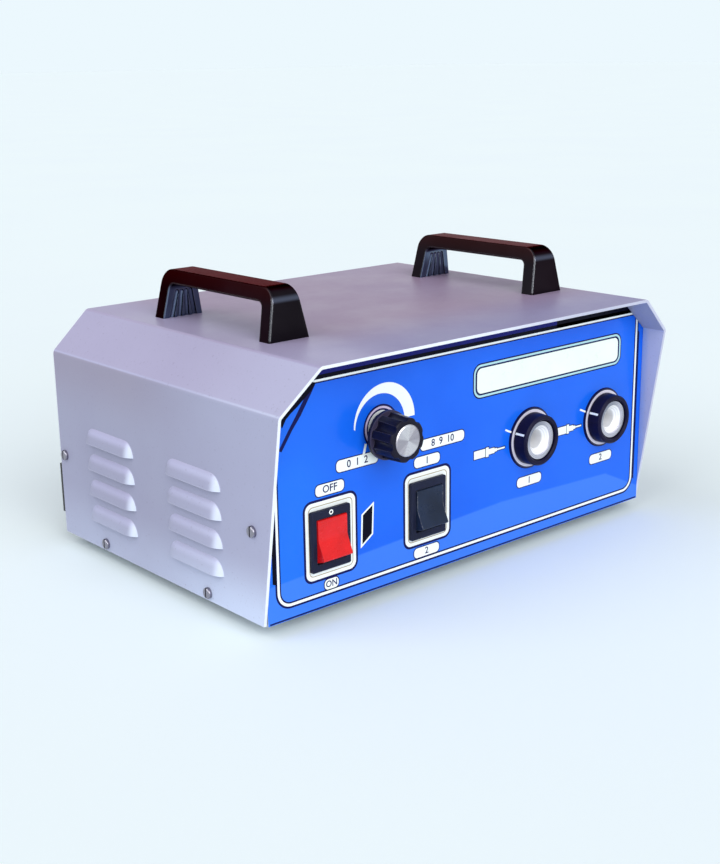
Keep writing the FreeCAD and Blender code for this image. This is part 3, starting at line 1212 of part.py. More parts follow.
def make_heat_sink():
    z0, z1 = SINK_Z0, SINK_Z0 + SINK_H
    base = box(SINK_X0, SINK_X0 + SINK_W, REAR_Y, REAR_Y + SINK_BASE, z0, z1)
    gap = (SINK_W - FIN_T) / (SINK_FINS - 1)
    fins = [box(SINK_X0 + i * gap, SINK_X0 + i * gap + FIN_T, REAR_Y, REAR_Y + SINK_PROUD, z0, z1)
            for i in range(SINK_FINS)]
    holes = [rod_y(M3_R + TAP_PLAY, x, z, REAR_Y - 1, REAR_Y + SINK_BASE + 1)
             for x, z in sink_screw_places()]
    node("heat_sink", base.fuse(fins).cut(holes).removeSplitter())
    node("sink_screws", *[m3(Vector(x, REAR_IN_Y, z), BACK, PANEL_T + SINK_BASE)
                          for x, z in sink_screw_places()])
    x, low = SINK_X0 + SINK_W / 2, SINK_Z0 + (SINK_H - TRIAC_H) / 2 + TRIAC_UP
    x0, x1 = x - TRIAC_W / 2, x + TRIAC_W / 2
    tab_y, leg_y = REAR_IN_Y - TRIAC_TAB_T, REAR_IN_Y - TRIAC_LEG_BACK
    tab = box(x0, x1, tab_y, REAR_IN_Y, low, low + TRIAC_H)
    body = box(x0, x1, REAR_IN_Y - TRIAC_T, tab_y, low, low + TRIAC_BODY_H)
    legs = [box(x + i * TRIAC_PITCH - TRIAC_LEG_W / 2, x + i * TRIAC_PITCH + TRIAC_LEG_W / 2,
                leg_y - TRIAC_LEG_T, leg_y, low - TRIAC_LEG_L, low) for i in (-1, 0, 1)]
    node("triac", tab.fuse([body] + legs))


def make_inlet():
    x, z = INLET_X, INLET_MID_Z
    outer_y = REAR_Y + INLET_FLANGE_T
    half_w, half_h, half_body = INLET_FLANGE_W / 2, INLET_FLANGE_H / 2, INLET_BODY_W / 2
    flange = plate_y([(x - half_w, z), (x - half_body, z - half_h), (x + half_body, z - half_h),
                      (x + half_w, z), (x + half_body, z + half_h), (x - half_body, z + half_h)],
                     [INLET_EAR_R, INLET_FLANGE_R, INLET_FLANGE_R] * 2, REAR_Y, outer_y)
    body = plate_y(rectangle(x, z, INLET_BODY_W, INLET_BODY_H), [INLET_EDGE_R] * 4, outer_y - INLET_BODY_D,
                   REAR_Y + INLET_FLANGE_T / 2)
    w, h, c = INLET_MOUTH_W / 2, INLET_MOUTH_H / 2, INLET_CORNER
    mouth = plate_y([(x - w, z - h), (x + w, z - h), (x + w, z + h - c), (x + w - c, z + h),
                     (x - w + c, z + h), (x - w, z + h - c)], [INLET_EDGE_R] * 6, outer_y - INLET_MOUTH_D,
                    outer_y + 1)
    pins, slots = [], []
    across, tall, tip = INLET_PIN_T / 2, INLET_PIN_W / 2, outer_y - INLET_PIN_SHY
    for i in (-1, 0, 1):
        px, pz = x + i * INLET_PIN_PITCH, z - INLET_PIN_DROP + (INLET_EARTH_UP if i == 0 else 0)
        back = outer_y - INLET_BODY_D
        pins.append(box(px - across, px + across, back - INLET_TAIL, tip, pz - tall, pz + tall))
        slots.append(box(px - across, px + across, back - 1, tip, pz - tall, pz + tall))
    screws, holes = [], []
    for sx in (x - INLET_SCREW_PITCH / 2, x + INLET_SCREW_PITCH / 2):
        holes.append(rod_y(M3_R + SCREW_PLAY, sx, z, REAR_Y - 1, outer_y + 1))
        screws.append(m3(Vector(sx, outer_y, z), FORWARD, INLET_FLANGE_T + PANEL_T + INLET_SCREW_OVER))
    node("inlet_body", flange.fuse(body).cut([mouth] + slots + holes))
    node("inlet_pins", *pins)
    node("inlet_screws", *screws)


def make_fuse():
    x, z = FUSE_X, INLET_MID_Z
    outer_y = REAR_Y + FUSE_FLANGE_T
    inner_y = REAR_Y - FUSE_BODY_L
    cap_r = FUSE_BORE_R - COLLAR_GAP
    holder = turned_y([(0, inner_y), (FUSE_BODY_R, inner_y), (FUSE_BODY_R, REAR_Y), (FUSE_FLANGE_R, REAR_Y),
                       (FUSE_FLANGE_R, outer_y), (FUSE_BORE_R, outer_y), (FUSE_BORE_R, inner_y + FUSE_FLOOR),
                       (0, inner_y + FUSE_FLOOR)], x, z)
    tag = box(x - FUSE_TAG_W / 2, x + FUSE_TAG_W / 2, inner_y - FUSE_TAG_L, inner_y + FUSE_FLOOR / 2,
              z - FUSE_TAG_T / 2, z + FUSE_TAG_T / 2)
    node("fuse_holder", holder.fuse(tag))
    y0 = outer_y + COLLAR_GAP
    y1, seat_y = y0 + FUSE_CAP_L, y0 - FUSE_SEAT
    cap = rod_y(FUSE_CAP_R, x, z, y0, y1).fuse(rod_y(cap_r, x, z, y0 - FUSE_PLUG_L, y0))
    rim = [e for e in cap.Edges if abs(e.CenterOfMass.y - y1) < 0.01 and e.Length > FUSE_CAP_R]
    cap = cap.makeFillet(FUSE_CAP_EDGE_R, rim)
    scallops = []
    for i in range(FUSE_SCALLOPS):
        angle = math.radians(i * 360 / FUSE_SCALLOPS)
        reach = FUSE_CAP_R + FUSE_SCALLOP_OUT
        cx, cz = x + reach * math.cos(angle), z + reach * math.sin(angle)
        scallops.append(rod_y(FUSE_SCALLOP_R, cx, cz, y0 + FUSE_SCALLOP_UP, y1 + 1))
    slot = box(x - FUSE_SLOT_L / 2, x + FUSE_SLOT_L / 2, y1 - FUSE_SLOT_DEEP, y1 + 1,
               z - FUSE_SLOT_W / 2, z + FUSE_SLOT_W / 2)
    seat = rod_y(FUSE_R + FIT_PLAY, x, z, seat_y - FUSE_SEAT_L, seat_y)
    node("fuse_cap", cap.cut(scallops + [slot, seat]))
    node("fuse", rod_y(FUSE_R, x, z, seat_y - FUSE_L, seat_y))


# ---------------------------------------------------------------- transformer and board
INLET_END_Y = REAR_Y + INLET_FLANGE_T - INLET_BODY_D - INLET_TAIL
TRANSFORMER_MID_Y = INLET_END_Y - COIL_CLEAR - COIL_OVER - CORE_STACK / 2
BOARD_MID_Y = SWITCH_BACK + BLADE_OUT + BOARD_CLEAR + BOARD_D / 2


def clamp_screw_places():
    reach = CORE_W / 2 + CLAMP_T + CLAMP_SCREW_OUT
    return [(TRANSFORMER_X + i * reach, TRANSFORMER_MID_Y + j * CLAMP_SCREW_SPREAD)
            for i in (-1, 1) for j in (-1, 1)]


def board_screw_places():
    half_w, half_d = BOARD_W / 2 - BOARD_EDGE, BOARD_D / 2 - BOARD_EDGE
    return [(BOARD_X + sx * half_w, BOARD_MID_Y + sy * half_d) for sx in (-1, 1) for sy in (-1, 1)]


def floor_screw_places():
    return bracket_screw_places() + clamp_screw_places() + board_screw_places()


def make_transformer():
    x, y, z = TRANSFORMER_X, TRANSFORMER_MID_Y, FLOOR_Z + CORE_H / 2
    leg = CORE_W / 6
    half_w, half_h, half_d = CORE_W / 2, CORE_H / 2, CORE_STACK / 2
    core = box(x - half_w, x + half_w, y - half_d, y + half_d, z - half_h, z + half_h)
    window = half_h - leg
    windows = [box(x + a, x + b, y - half_d - 1, y + half_d + 1, z - window, z + window)
               for a, b in ((-2 * leg, -leg), (leg, 2 * leg))]
    node("transformer_core", core.cut(windows))
    play = CORE_PLAY
    wide, deep, tall = 2 * leg - play, half_d + COIL_OVER, window - play
    coil = slab_z([(x - wide, y - deep), (x + wide, y - deep), (x + wide, y + deep), (x - wide, y + deep)],
                  [COIL_CORNER_R] * 4, z - tall, z + tall)
    coil = coil.cut(box(x - leg - play, x + leg + play, y - half_d - play, y + half_d + play,
                        z - window, z + window))
    node("transformer_coil", coil)
    over = half_w + play
    outside = [(x - over - CLAMP_T, FLOOR_Z), (x + over + CLAMP_T, FLOOR_Z),
               (x + over + CLAMP_T, FLOOR_Z + CORE_H + play + CLAMP_T),
               (x - over - CLAMP_T, FLOOR_Z + CORE_H + play + CLAMP_T)]
    inside = [(x - over, FLOOR_Z - 1), (x + over, FLOOR_Z - 1),
              (x + over, FLOOR_Z + CORE_H + play), (x - over, FLOOR_Z + CORE_H + play)]
    y0, y1, bend = y - half_d + CLAMP_IN, y + half_d - CLAMP_IN, CLAMP_BEND_R + CLAMP_T
    strap = plate_y(outside, [0, 0, bend, bend], y0, y1)
    strap = strap.cut(plate_y(inside, [0, 0, CLAMP_BEND_R, CLAMP_BEND_R], y0 - 1, y1 + 1))
    toe = over + CLAMP_T + CLAMP_FOOT
    feet = []
    for side in (-1, 1):
        xs = sorted((x + side * over, x + side * toe))
        feet.append(box(xs[0], xs[1], y0, y1, FLOOR_Z, FLOOR_Z + CLAMP_T))
    holes = [rod_z(M3_R + SCREW_PLAY, hx, hy, FLOOR_Z - 1, FLOOR_Z + 2 * CLAMP_T)
             for hx, hy in clamp_screw_places()]
    node("transformer_clamp", strap.fuse(feet).cut(holes).removeSplitter())


def make_board():
    left, right = BOARD_X - BOARD_W / 2, BOARD_X + BOARD_W / 2
    front, rear = BOARD_MID_Y - BOARD_D / 2, BOARD_MID_Y + BOARD_D / 2
    z0 = FLOOR_Z + BOARD_UP
    top = z0 + BOARD_T
    board = slab_z([(left, front), (right, front), (right, rear), (left, rear)], [BOARD_R] * 4, z0, top)
    holes = [rod_z(M3_R + SCREW_PLAY, hx, hy, z0 - 1, top + 1) for hx, hy in board_screw_places()]
    node("dimmer_board", board.cut(holes))
    node("board_standoffs", *[rod_z(STANDOFF_R, hx, hy, FLOOR_Z, z0)
                              .cut(rod_z(M3_R + TAP_PLAY, hx, hy, FLOOR_Z - 1, z0 + 1))
                              for hx, hy in board_screw_places()])
    choke = Part.makeTorus(CHOKE_R, CHOKE_T, Vector(right - CHOKE_IN, front + CHOKE_BACK, top + CHOKE_T))
    film = box(left + FILM_IN, left + FILM_IN + FILM_W, rear - FILM_BACK - FILM_D, rear - FILM_BACK,
               top, top + FILM_H)
    can = rod_z(CAN_R, left + CAN_IN, front + CAN_BACK, top, top + CAN_H)
    block = box(right - BLOCK_IN - BLOCK_W, right - BLOCK_IN, rear - BLOCK_BACK - BLOCK_D, rear - BLOCK_BACK,
                top, top + BLOCK_H)
    trimmer = box(left + TRIMMER_IN, left + TRIMMER_IN + TRIMMER_W, front + TRIMMER_BACK,
                  front + TRIMMER_BACK + TRIMMER_SIZE, top, top + TRIMMER_SIZE)
    start = Vector(left + RESISTOR_IN, front + RESISTOR_BACK, top + RESISTOR_R)
    resistor = rod(RESISTOR_R, start, start + RIGHT * RESISTOR_L)
    node("board_components", choke, film, can, block, trimmer, resistor)


def make_floor_screws():
    screws = []
    for x, y in bracket_screw_places() + clamp_screw_places():
        screws.append(m3(Vector(x, y, FLOOR_Z + PANEL_T), DOWN, 2 * PANEL_T))
    top = FLOOR_Z + BOARD_UP + BOARD_T
    for x, y in board_screw_places():
        screws.append(m3(Vector(x, y, top), DOWN, top - BASE_Z))
    node("floor_screws", *screws)


# ---------------------------------------------------------------- build and export
make_cover()
make_tray()
make_panels()
make_case_screws()
make_handles()
make_switches()
make_knob()
make_ports()
make_lamps()
make_fan()
make_heat_sink()
make_inlet()
make_fuse()
make_transformer()
make_board()
make_floor_screws()

os.makedirs("parts", exist_ok=True)
for name, shape in NODES.items():
    shape.exportStep("parts/" + name + ".step")
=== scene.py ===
import json
import math

import bpy
from mathutils import Matrix, Vector


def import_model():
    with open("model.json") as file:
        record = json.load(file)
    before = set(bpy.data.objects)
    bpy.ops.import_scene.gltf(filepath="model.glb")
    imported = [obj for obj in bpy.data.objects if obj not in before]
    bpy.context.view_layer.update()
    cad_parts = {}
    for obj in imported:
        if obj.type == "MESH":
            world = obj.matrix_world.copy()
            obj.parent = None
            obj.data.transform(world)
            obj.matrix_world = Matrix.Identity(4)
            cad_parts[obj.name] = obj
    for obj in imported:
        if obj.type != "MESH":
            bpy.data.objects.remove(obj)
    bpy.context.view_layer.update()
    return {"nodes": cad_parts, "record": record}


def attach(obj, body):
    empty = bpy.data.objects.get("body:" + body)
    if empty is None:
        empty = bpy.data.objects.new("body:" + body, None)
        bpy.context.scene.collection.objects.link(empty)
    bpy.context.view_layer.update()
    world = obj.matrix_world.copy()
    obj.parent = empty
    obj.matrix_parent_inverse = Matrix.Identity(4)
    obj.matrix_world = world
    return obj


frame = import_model()

# ------------------------------------------------------------------ places, in mm, as in the CAD
MM = 0.001
BASE_Z = 7.0                # cover's bottom edge above the bench
FACE_Y = -92.8              # fascia's front
BEZEL_Y = FACE_Y - 2.4      # front of the switch bezels
HOOD_Y = -90.5              # the hood's cut edge is ahead of this
SIDE_X = 140.2              # the louvres stand out beyond this
KNOB = (-67.3, 87.7)        # (x, z) of the knob's axis
KNOB_FRONT = (-112.5, -110.5)   # the rounding between the knob's front and its flutes
KNOB_SKIRT = -100.3         # the skirt is behind this
PORTS = {"a": (42.3, 63.4), "b": (103.7, 63.4)}
PORT_LINING = 8.2           # radius of a port's bare lining
PORT_FACE = (12.0, 13.0)    # where the socket's face ends, under the collar
PORT_RING = (13.5, 14.0)    # where the ring behind the collar begins
PORT_RIM = (15.7, 15.9)     # where the ring's dark rim begins
PORT_LINE = (17.1, 15.6)    # radii of the printed line round the ring
COLLAR_FLANK = ((14.3, -94.3), (13.86, -99.9))  # (radius, y) at both ends of a collar's mark
LOCK_ANGLE = 159.0          # the lock pin and the marks, degrees from +X towards +Z
SWITCHES = {"power": (-100.7, 42.2), "lamp": (-36.1, 42.2)}
HANDLE_Y = -5.9             # the middle between a handle's legs
LEG_Y = 44.5                # from there to the middle of a leg
INK = 0.05                  # thickness of one layer of ink

BACKGROUND = (236, 248, 254)
# What a white face sends back of the world's light and, turned to them, of the two lamps'.
SKY_LIGHT, FRONT_LIGHT, LEFT_LIGHT = 0.42, 0.6, 0.4

# The camera, fitted to the photo: metres, degrees and pixels.
EYE = (-0.4858, -0.5584, 0.2635)
YAW, PITCH, ROLL = 41.08, 15.65, 0.87
FOCAL, PHOTO_HEIGHT = 1340.8, 864


# ------------------------------------------------------------------ materials
def linear(rgb):
    """A colour of 0 to 255 as Blender's linear shares of 1."""
    shares = [c / 255 for c in rgb]
    return [c / 12.92 if c <= 0.04045 else ((c + 0.055) / 1.055) ** 2.4 for c in shares]


def shade(colour, factor):
    return [min(c * factor, 1.0) for c in colour]


class Graph:
    """Adds and joins the nodes of one tree."""

    def __init__(self, tree):
        self.tree = tree
        tree.nodes.clear()

    def add(self, kind, **props):
        node = self.tree.nodes.new(kind)
        for key, value in props.items():
            setattr(node, key, value)
        return node

    def join(self, a, out, b, into):
        self.tree.links.new(a.outputs[out], b.inputs[into])

    def math(self, operation, a, b=None):
        n = self.add("ShaderNodeMath", operation=operation)
        for i, value in enumerate((a, b)):
            if value is None:
                continue
            if isinstance(value, (int, float)):
                n.inputs[i].default_value = value
            else:
                self.tree.links.new(value, n.inputs[i])
        return n.outputs[0]

    def product(self, first, *rest):
        for value in rest:
            first = self.math("MULTIPLY", first, value)
        return first


class Material(Graph):
    """A Principled material. Its places and sizes are in metres in the row frame."""

    def __init__(self, name):
        self.mat = bpy.data.materials.new(name)
        self.mat.use_nodes = True
        super().__init__(self.mat.node_tree)
        self.shader = self.add("ShaderNodeBsdfPrincipled")
        self.join(self.shader, "BSDF", self.add("ShaderNodeOutputMaterial"), "Surface")
        self.coord = self.add("ShaderNodeTexCoord")

    def set(self, **values):
        for key, value in values.items():
            self.shader.inputs[key.replace("_", " ")].default_value = value

    def noise(self, scale, detail, rough=0.55, stretch=None):
        n = self.add("ShaderNodeTexNoise")
        n.inputs["Scale"].default_value = scale
        n.inputs["Detail"].default_value = detail
        n.inputs["Roughness"].default_value = rough
        if stretch:
            m = self.add("ShaderNodeMapping")
            m.inputs["Scale"].default_value = stretch
            self.join(self.coord, "Object", m, "Vector")
            self.join(m, "Vector", n, "Vector")
        else:
            self.join(self.coord, "Object", n, "Vector")
        return n.outputs["Fac"]

    def cells(self, scale):
        """Small cells: two random numbers of each, and the distance from its middle."""
        n = self.add("ShaderNodeTexVoronoi")
        n.inputs["Scale"].default_value = scale
        self.join(self.coord, "Object", n, "Vector")
        split = self.add("ShaderNodeSeparateColor")
        self.join(n, "Color", split, "Color")
        return split.outputs[0], split.outputs[1], n.outputs["Distance"]

    def place(self):
        """x, y and z of the surface, each a socket."""
        n = self.add("ShaderNodeSeparateXYZ")
        self.join(self.coord, "Object", n, "Vector")
        return n.outputs

    def facing(self):
        """x, y and z of the surface's normal, each a socket."""
        n = self.add("ShaderNodeSeparateXYZ")
        self.join(self.add("ShaderNodeNewGeometry"), "Normal", n, "Vector")
        return n.outputs

    def radius_from(self, x, z):
        """Distance in mm from an axis along Y, at x and z mm."""
        px, _, pz = self.place()
        dx = self.math("SUBTRACT", px, x * MM)
        dz = self.math("SUBTRACT", pz, z * MM)
        squares = self.math("ADD", self.product(dx, dx), self.product(dz, dz))
        return self.product(self.math("SQRT", squares), 1 / MM)

    def edges(self, radius):
        """1 on sharp outer and inner edges, 0 on flats."""
        soft = self.add("ShaderNodeBevel", samples=4)
        soft.inputs["Radius"].default_value = radius
        geometry = self.add("ShaderNodeNewGeometry")
        dot = self.add("ShaderNodeVectorMath", operation="DOT_PRODUCT")
        self.join(soft, "Normal", dot, 0)
        self.join(geometry, "Normal", dot, 1)
        return self.spread(dot.outputs["Value"], 0.80, 0.995, 1.0, 0.0)

    def spread(self, value, low, high, to_low, to_high):
        """to_low where value is low, to_high where it is high, and a smooth step between."""
        n = self.add("ShaderNodeMapRange", interpolation_type="SMOOTHSTEP")
        self.tree.links.new(value, n.inputs["Value"])
        n.inputs["From Min"].default_value = low
        n.inputs["From Max"].default_value = high
        n.inputs["To Min"].default_value = to_low
        n.inputs["To Max"].default_value = to_high
        return n.outputs["Result"]

    def blend(self, factor, a, b):
        """Mix two colours, each a colour or a socket."""
        n = self.add("ShaderNodeMix", data_type="RGBA")
        self.tree.links.new(factor, n.inputs[0])
        for value, i in ((a, 6), (b, 7)):
            if isinstance(value, (list, tuple)):
                n.inputs[i].default_value = (*value, 1)
            else:
                self.tree.links.new(value, n.inputs[i])
        return n.outputs[2]

    def tint(self, colour, rgb, *factors):
        """The colour with rgb laid over it, as strongly as the factors' product says."""
        return self.blend(self.product(*factors), colour, linear(rgb))

    def patches(self, scale, detail, a, b):
        """Soft patches of two colours."""
        return self.blend(self.spread(self.noise(scale, detail), 0.3, 0.7, 0.0, 1.0), a, b)

    def colour(self, socket):
        self.tree.links.new(socket, self.shader.inputs["Base Color"])

    def rough(self, value, low, high, start=0.3, end=0.7):
        """Roughness from low to high while value goes from start to end."""
        gloss = self.spread(value, start, end, low, high)
        self.tree.links.new(gloss, self.shader.inputs["Roughness"])

    def bump(self, height, strength, distance):
        n = self.add("ShaderNodeBump")
        n.inputs["Strength"].default_value = strength
        n.inputs["Distance"].default_value = distance
        self.tree.links.new(height, n.inputs["Height"])
        self.join(n, "Normal", self.shader, "Normal")

    def satin(self, grain, smudge, low, high, relief):
        """Fine grain and wide smudges in the gloss, with the grain in relief."""
        fine = self.noise(grain, 3)
        smudges = self.noise(smudge, 5, 0.65)
        self.rough(self.math("ADD", self.product(fine, 0.3), self.product(smudges, 0.7)), low, high)
        self.bump(fine, relief, 0.0002)


def finish_of(name, rgb, rough=0.4, metallic=0.0, vary=0.08, patch=30, grain=1500, relief=0.04,
              wear_and_highlight=0.0, edge_r=0.0005, level=0.5):
    """Paint, plastic or plain metal: patches of tone, grain in the gloss, and edges made paler,
    partly as wear and partly as a painted highlight.
    """
    n = Material(name)
    base = linear(rgb)
    colour = n.patches(patch, 4, shade(base, 1 - vary), shade(base, 1 + vary))
    if wear_and_highlight:
        nicks = n.spread(n.noise(patch * 14, 5, 0.7), 0.42, 0.62, 0.15, 1.0)
        edge_wear_and_highlight = n.product(n.edges(edge_r), nicks, wear_and_highlight)
        colour = n.blend(edge_wear_and_highlight, colour, shade([c + 0.25 * (1 - c) for c in base], 1.25))
    n.colour(colour)
    n.satin(grain, patch * 2.3, max(rough * 0.82, 0.02), min(rough * 1.2, 1.0), relief)
    n.set(Metallic=metallic, Specular_IOR_Level=level)
    return n.mat


# Heights on a handle between which painted reflections and highlights come and go, in metres.
LEG_FOOT = (0.1322, 0.133)      # just above the roof
FLUTE_END = (0.146, 0.15)       # where the flutes run out, under the bar
FLANK = (0.146, 0.157)          # up the bar's sides
TURN_LOW = (0.1496, 0.1514)     # up to the line where the leg turns into the bar
TURN_HIGH = (0.1516, 0.1538)    # and down from it
EDGE_END = (0.151, 0.1535)      # where the painted edge highlights fade, on the bar


def handle_plastic(name):
    """Black plastic, little mirrored at a low angle, with a brown-red reflection painted on the
    bar, a bluish reflection painted in the legs' flutes, and highlights painted along the legs'
    upright edges and where each leg turns into the bar."""
    n = Material(name)
    _, y, z = n.place()
    along = n.math("ABSOLUTE", n.facing()[1])
    black = linear((34, 29, 34))
    colour = n.patches(22, 4, shade(black, 0.75), shade(black, 1.25))
    # A brown-red reflection painted on the bar's top and sides, stronger higher up.
    colour = n.tint(colour, (62, 26, 22),
                    n.spread(along, 0.2, 0.4, 1.0, 0.0), n.spread(z, *FLANK, 0.0, 0.4))
    # A bluish reflection painted in the legs' flutes.
    from_middle = n.math("ABSOLUTE", n.math("ADD", y, -HANDLE_Y * MM))
    inward = n.math("LESS_THAN", from_middle, LEG_Y * MM)
    fluted = n.product(inward, n.spread(along, 0.25, 0.6, 0.0, 1.0),
                       n.spread(z, *FLUTE_END, 1.0, 0.0))
    colour = n.tint(colour, (90, 101, 126), fluted)
    # A highlight painted where each leg turns into the bar, on the legs' outer faces.
    outward = n.product(n.math("SUBTRACT", 1.0, inward), n.spread(along, 0.7, 0.9, 0.0, 1.0))
    turn = n.product(n.spread(z, *TURN_LOW, 0.0, 1.0), n.spread(z, *TURN_HIGH, 1.0, 0.0))
    colour = n.tint(colour, (122, 128, 152), turn, outward, 0.35)
    # A highlight painted along the edges above the roof, fading on the bar and weaker in the
    # flutes.
    edge = n.product(n.edges(0.0011), n.spread(z, *EDGE_END, 1.0, 0.1),
                     n.spread(z, *LEG_FOOT, 0.0, 1.0),
                     n.math("SUBTRACT", 1.0, n.product(fluted, 0.85)))
    n.colour(n.tint(colour, (240, 242, 248), edge))
    n.satin(2600, 50, 0.16, 0.24, 0.02)
    n.set(Metallic=1.0, Specular_Tint=(0.37, 0.12, 0.13, 1))
    return n.mat


def knob_plastic(name):
    """Black moulded plastic, with highlights painted where the flutes end at the skirt and along
    the ridges.
    """
    n = Material(name)
    _, y, _ = n.place()
    black = linear((20, 18, 36))
    colour = n.patches(80, 4, shade(black, 0.8), shade(black, 1.25))
    # A highlight painted where the flutes end at the skirt.
    ledge_highlight = n.product(n.math("GREATER_THAN", y, KNOB_SKIRT * MM),
                      n.spread(n.facing()[1], -0.5, -0.9, 0.0, 1.0))
    colour = n.tint(colour, (66, 60, 86), ledge_highlight, 0.8)
    # A highlight painted along the ridges, weaker at the front.
    behind = n.spread(y, KNOB_FRONT[0] * MM, KNOB_FRONT[1] * MM, 0.15, 1.0)
    n.colour(n.tint(colour, (120, 116, 140), n.edges(0.0005), behind, 0.45))
    fine = n.noise(3500, 3)
    n.rough(fine, 0.26, 0.36)
    n.bump(fine, 0.05, 0.0002)
    n.set(Specular_IOR_Level=0.15)
    return n.mat


def cover_paint(name):
    """Satin lilac-grey paint with a fine orange peel, with light, shade and reflections painted
    into its colour, and the sheet's bare cut edge at the hood with a highlight painted on it.
    """
    n = Material(name)
    x, y, z = n.place()
    facing_x, facing_y, facing_z = n.facing()
    # Light and shade painted by which way a face turns: the roof pinker, a painted reflection, and
    # bluer towards the front; the sloping shoulders paler.
    up = n.spread(facing_z, 0.55, 0.95, 0.0, 1.0)
    upright = n.math("SUBTRACT", 1.0, up)
    sloping = n.product(n.spread(facing_z, 0.3, 0.6, 0.0, 1.0), upright)
    roof = n.tint(linear((150, 130, 155)), (138, 132, 170), n.spread(y, -0.105, -0.04, 1.0, 0.0))
    grey = n.tint(n.blend(up, linear((154, 155, 180)), roof), (176, 176, 207), sloping)
    # Painted light and shade: the sides and shoulders paler and bluer towards the front, and the
    # sides duller high up at the back and paler towards the bottom edge.
    forward = n.product(n.spread(y, -0.12, 0.02, 1.0, 0.0), upright)
    grey = n.tint(grey, (186, 190, 220), forward, 0.42)
    grey = n.tint(grey, (222, 234, 252), sloping, n.spread(y, -0.12, 0.0, 1.0, 0.0), 0.3)
    high = n.product(n.math("SUBTRACT", upright, sloping), n.spread(z, 0.075, 0.11, 0.0, 0.4))
    grey = n.tint(grey, (142, 128, 144), high, n.spread(y, -0.05, 0.03, 0.0, 1.0))
    low = n.product(n.spread(z, 0.006, 0.042, 1.0, 0.0), upright)
    grey = n.tint(grey, (206, 218, 244), low, n.math("ADD", 0.35, n.product(forward, 0.65)))
    # Inside the hood's far side, painted light: paler, and bluer towards the fascia.
    hooded = n.product(n.spread(facing_x, -0.8, -0.95, 0.0, 1.0), n.math("GREATER_THAN", x, 0.12))
    inside = n.tint(linear((206, 210, 238)), (150, 190, 246),
                    n.spread(y, -0.0985, -0.092, 0.0, 0.75))
    grey = n.blend(hooded, grey, inside)
    # The roof's left end.
    grey = n.tint(grey, (170, 164, 196), n.product(n.spread(x, -0.105, -0.06, 1.0, 0.0), up), 0.8)
    # Clouds, pale patches, specks, and a highlight painted along the edges.
    colour = n.tint(grey, (124, 112, 144), n.spread(n.noise(9, 4), 0.3, 0.7, 0.0, 0.14))
    colour = n.tint(colour, (176, 182, 210), n.spread(n.noise(5.5, 3, 0.5), 0.45, 0.7, 0.0, 0.14))
    colour = n.tint(colour, (122, 116, 140), n.spread(n.noise(700, 2), 0.62, 0.75, 0.0, 0.3))
    colour = n.tint(colour, (214, 214, 232), n.edges(0.0009), 0.45)
    # A highlight painted on the louvres' front ends.
    proud = n.math("GREATER_THAN", n.math("ABSOLUTE", x), SIDE_X * MM)
    colour = n.tint(colour, (224, 234, 252), proud, n.spread(facing_y, -0.12, -0.55, 0.0, 0.75))
    # The sheet's cut edge at the hood is bare, with a highlight painted on it, weaker towards the
    # right.
    rim = n.product(n.spread(facing_y, -0.97, -0.9, 1.0, 0.0),
                    n.math("LESS_THAN", y, HOOD_Y * MM), n.spread(x, -0.05, 0.08, 1.0, 0.3))
    bright = n.tint(linear((220, 228, 246)), (250, 252, 255), n.noise(260, 4, 0.7))
    n.colour(n.blend(rim, colour, bright))
    n.rough(n.noise(22, 5, 0.6), 0.36, 0.5)
    n.bump(n.noise(620, 2, 0.4), 0.09, 0.0002)
    n.set(Specular_IOR_Level=0.22)
    return n.mat


def fascia_blue(name):
    """A glossy blue overlay with a reflection painted as a paler band along its bottom, and fine
    scratches in its gloss.
    """
    n = Material(name)
    x, _, z = n.place()
    blue = linear((18, 100, 238))
    colour = n.patches(14, 3, shade(blue, 0.92), [blue[0] * 1.4, blue[1] * 1.1, blue[2]])
    colour = n.tint(colour, (30, 124, 244),
                    n.spread(x, -0.125, -0.085, 0.5, 0.0), n.spread(z, 0.07, 0.1, 1.0, 0.3))
    # A painted reflection: the band is highest near the middle, falls a little to both ends and
    # ends in the right corner.
    fall = n.product(n.math("ABSOLUTE", n.math("SUBTRACT", x, 0.02)), 0.037)
    corner = n.product(n.math("MAXIMUM", n.math("SUBTRACT", x, 0.108), 0.0), 0.42)
    height = n.math("ADD", z, n.math("ADD", fall, corner))
    n.colour(n.tint(colour, (66, 130, 244), n.spread(height, 0.0312, 0.0326, 0.72, 0.0)))
    n.rough(n.noise(420, 4, 0.75, (0.12, 1, 1)), 0.13, 0.24, 0.3, 0.72)
    n.bump(n.noise(60, 2), 0.03, 0.0005)
    n.set(Specular_IOR_Level=0.22)
    return n.mat


def zinc_sheet(name):
    """Zinc plate with a faint spangle."""
    n = Material(name)
    base = linear((196, 199, 203))
    tone, gloss, _ = n.cells(170)
    n.colour(n.blend(tone, shade(base, 0.82), shade(base, 1.06)))
    n.rough(gloss, 0.32, 0.5, 0.0, 1.0)
    n.bump(n.noise(900, 3), 0.04, 0.0001)
    n.set(Metallic=0.85)
    return n.mat


def turned_metal(n, rgb, radius, rings, rough, sparkle):
    """Fine rings in the gloss and the relief of turned metal, about an axis along Y; gives their
    colour. The radius is a socket, in mm."""
    base = linear(rgb)
    wave = n.math("SINE", n.product(radius, rings))
    lines = n.math("ADD", n.product(wave, 0.5), n.product(n.noise(1200, 2), 0.8))
    n.rough(lines, rough * 0.8, rough * 1.25, -0.3, 1.1)
    n.bump(lines, 0.12, 0.00005)
    tangent = n.add("ShaderNodeTangent", direction_type="RADIAL", axis="Y")
    n.join(tangent, "Tangent", n.shader, "Tangent")
    n.set(Anisotropic=0.7)
    tone = n.spread(lines, -0.3, 1.1, 0.0, 1.0)
    return n.blend(tone, shade(base, 1 - 0.25 * sparkle), shade(base, 1.04))


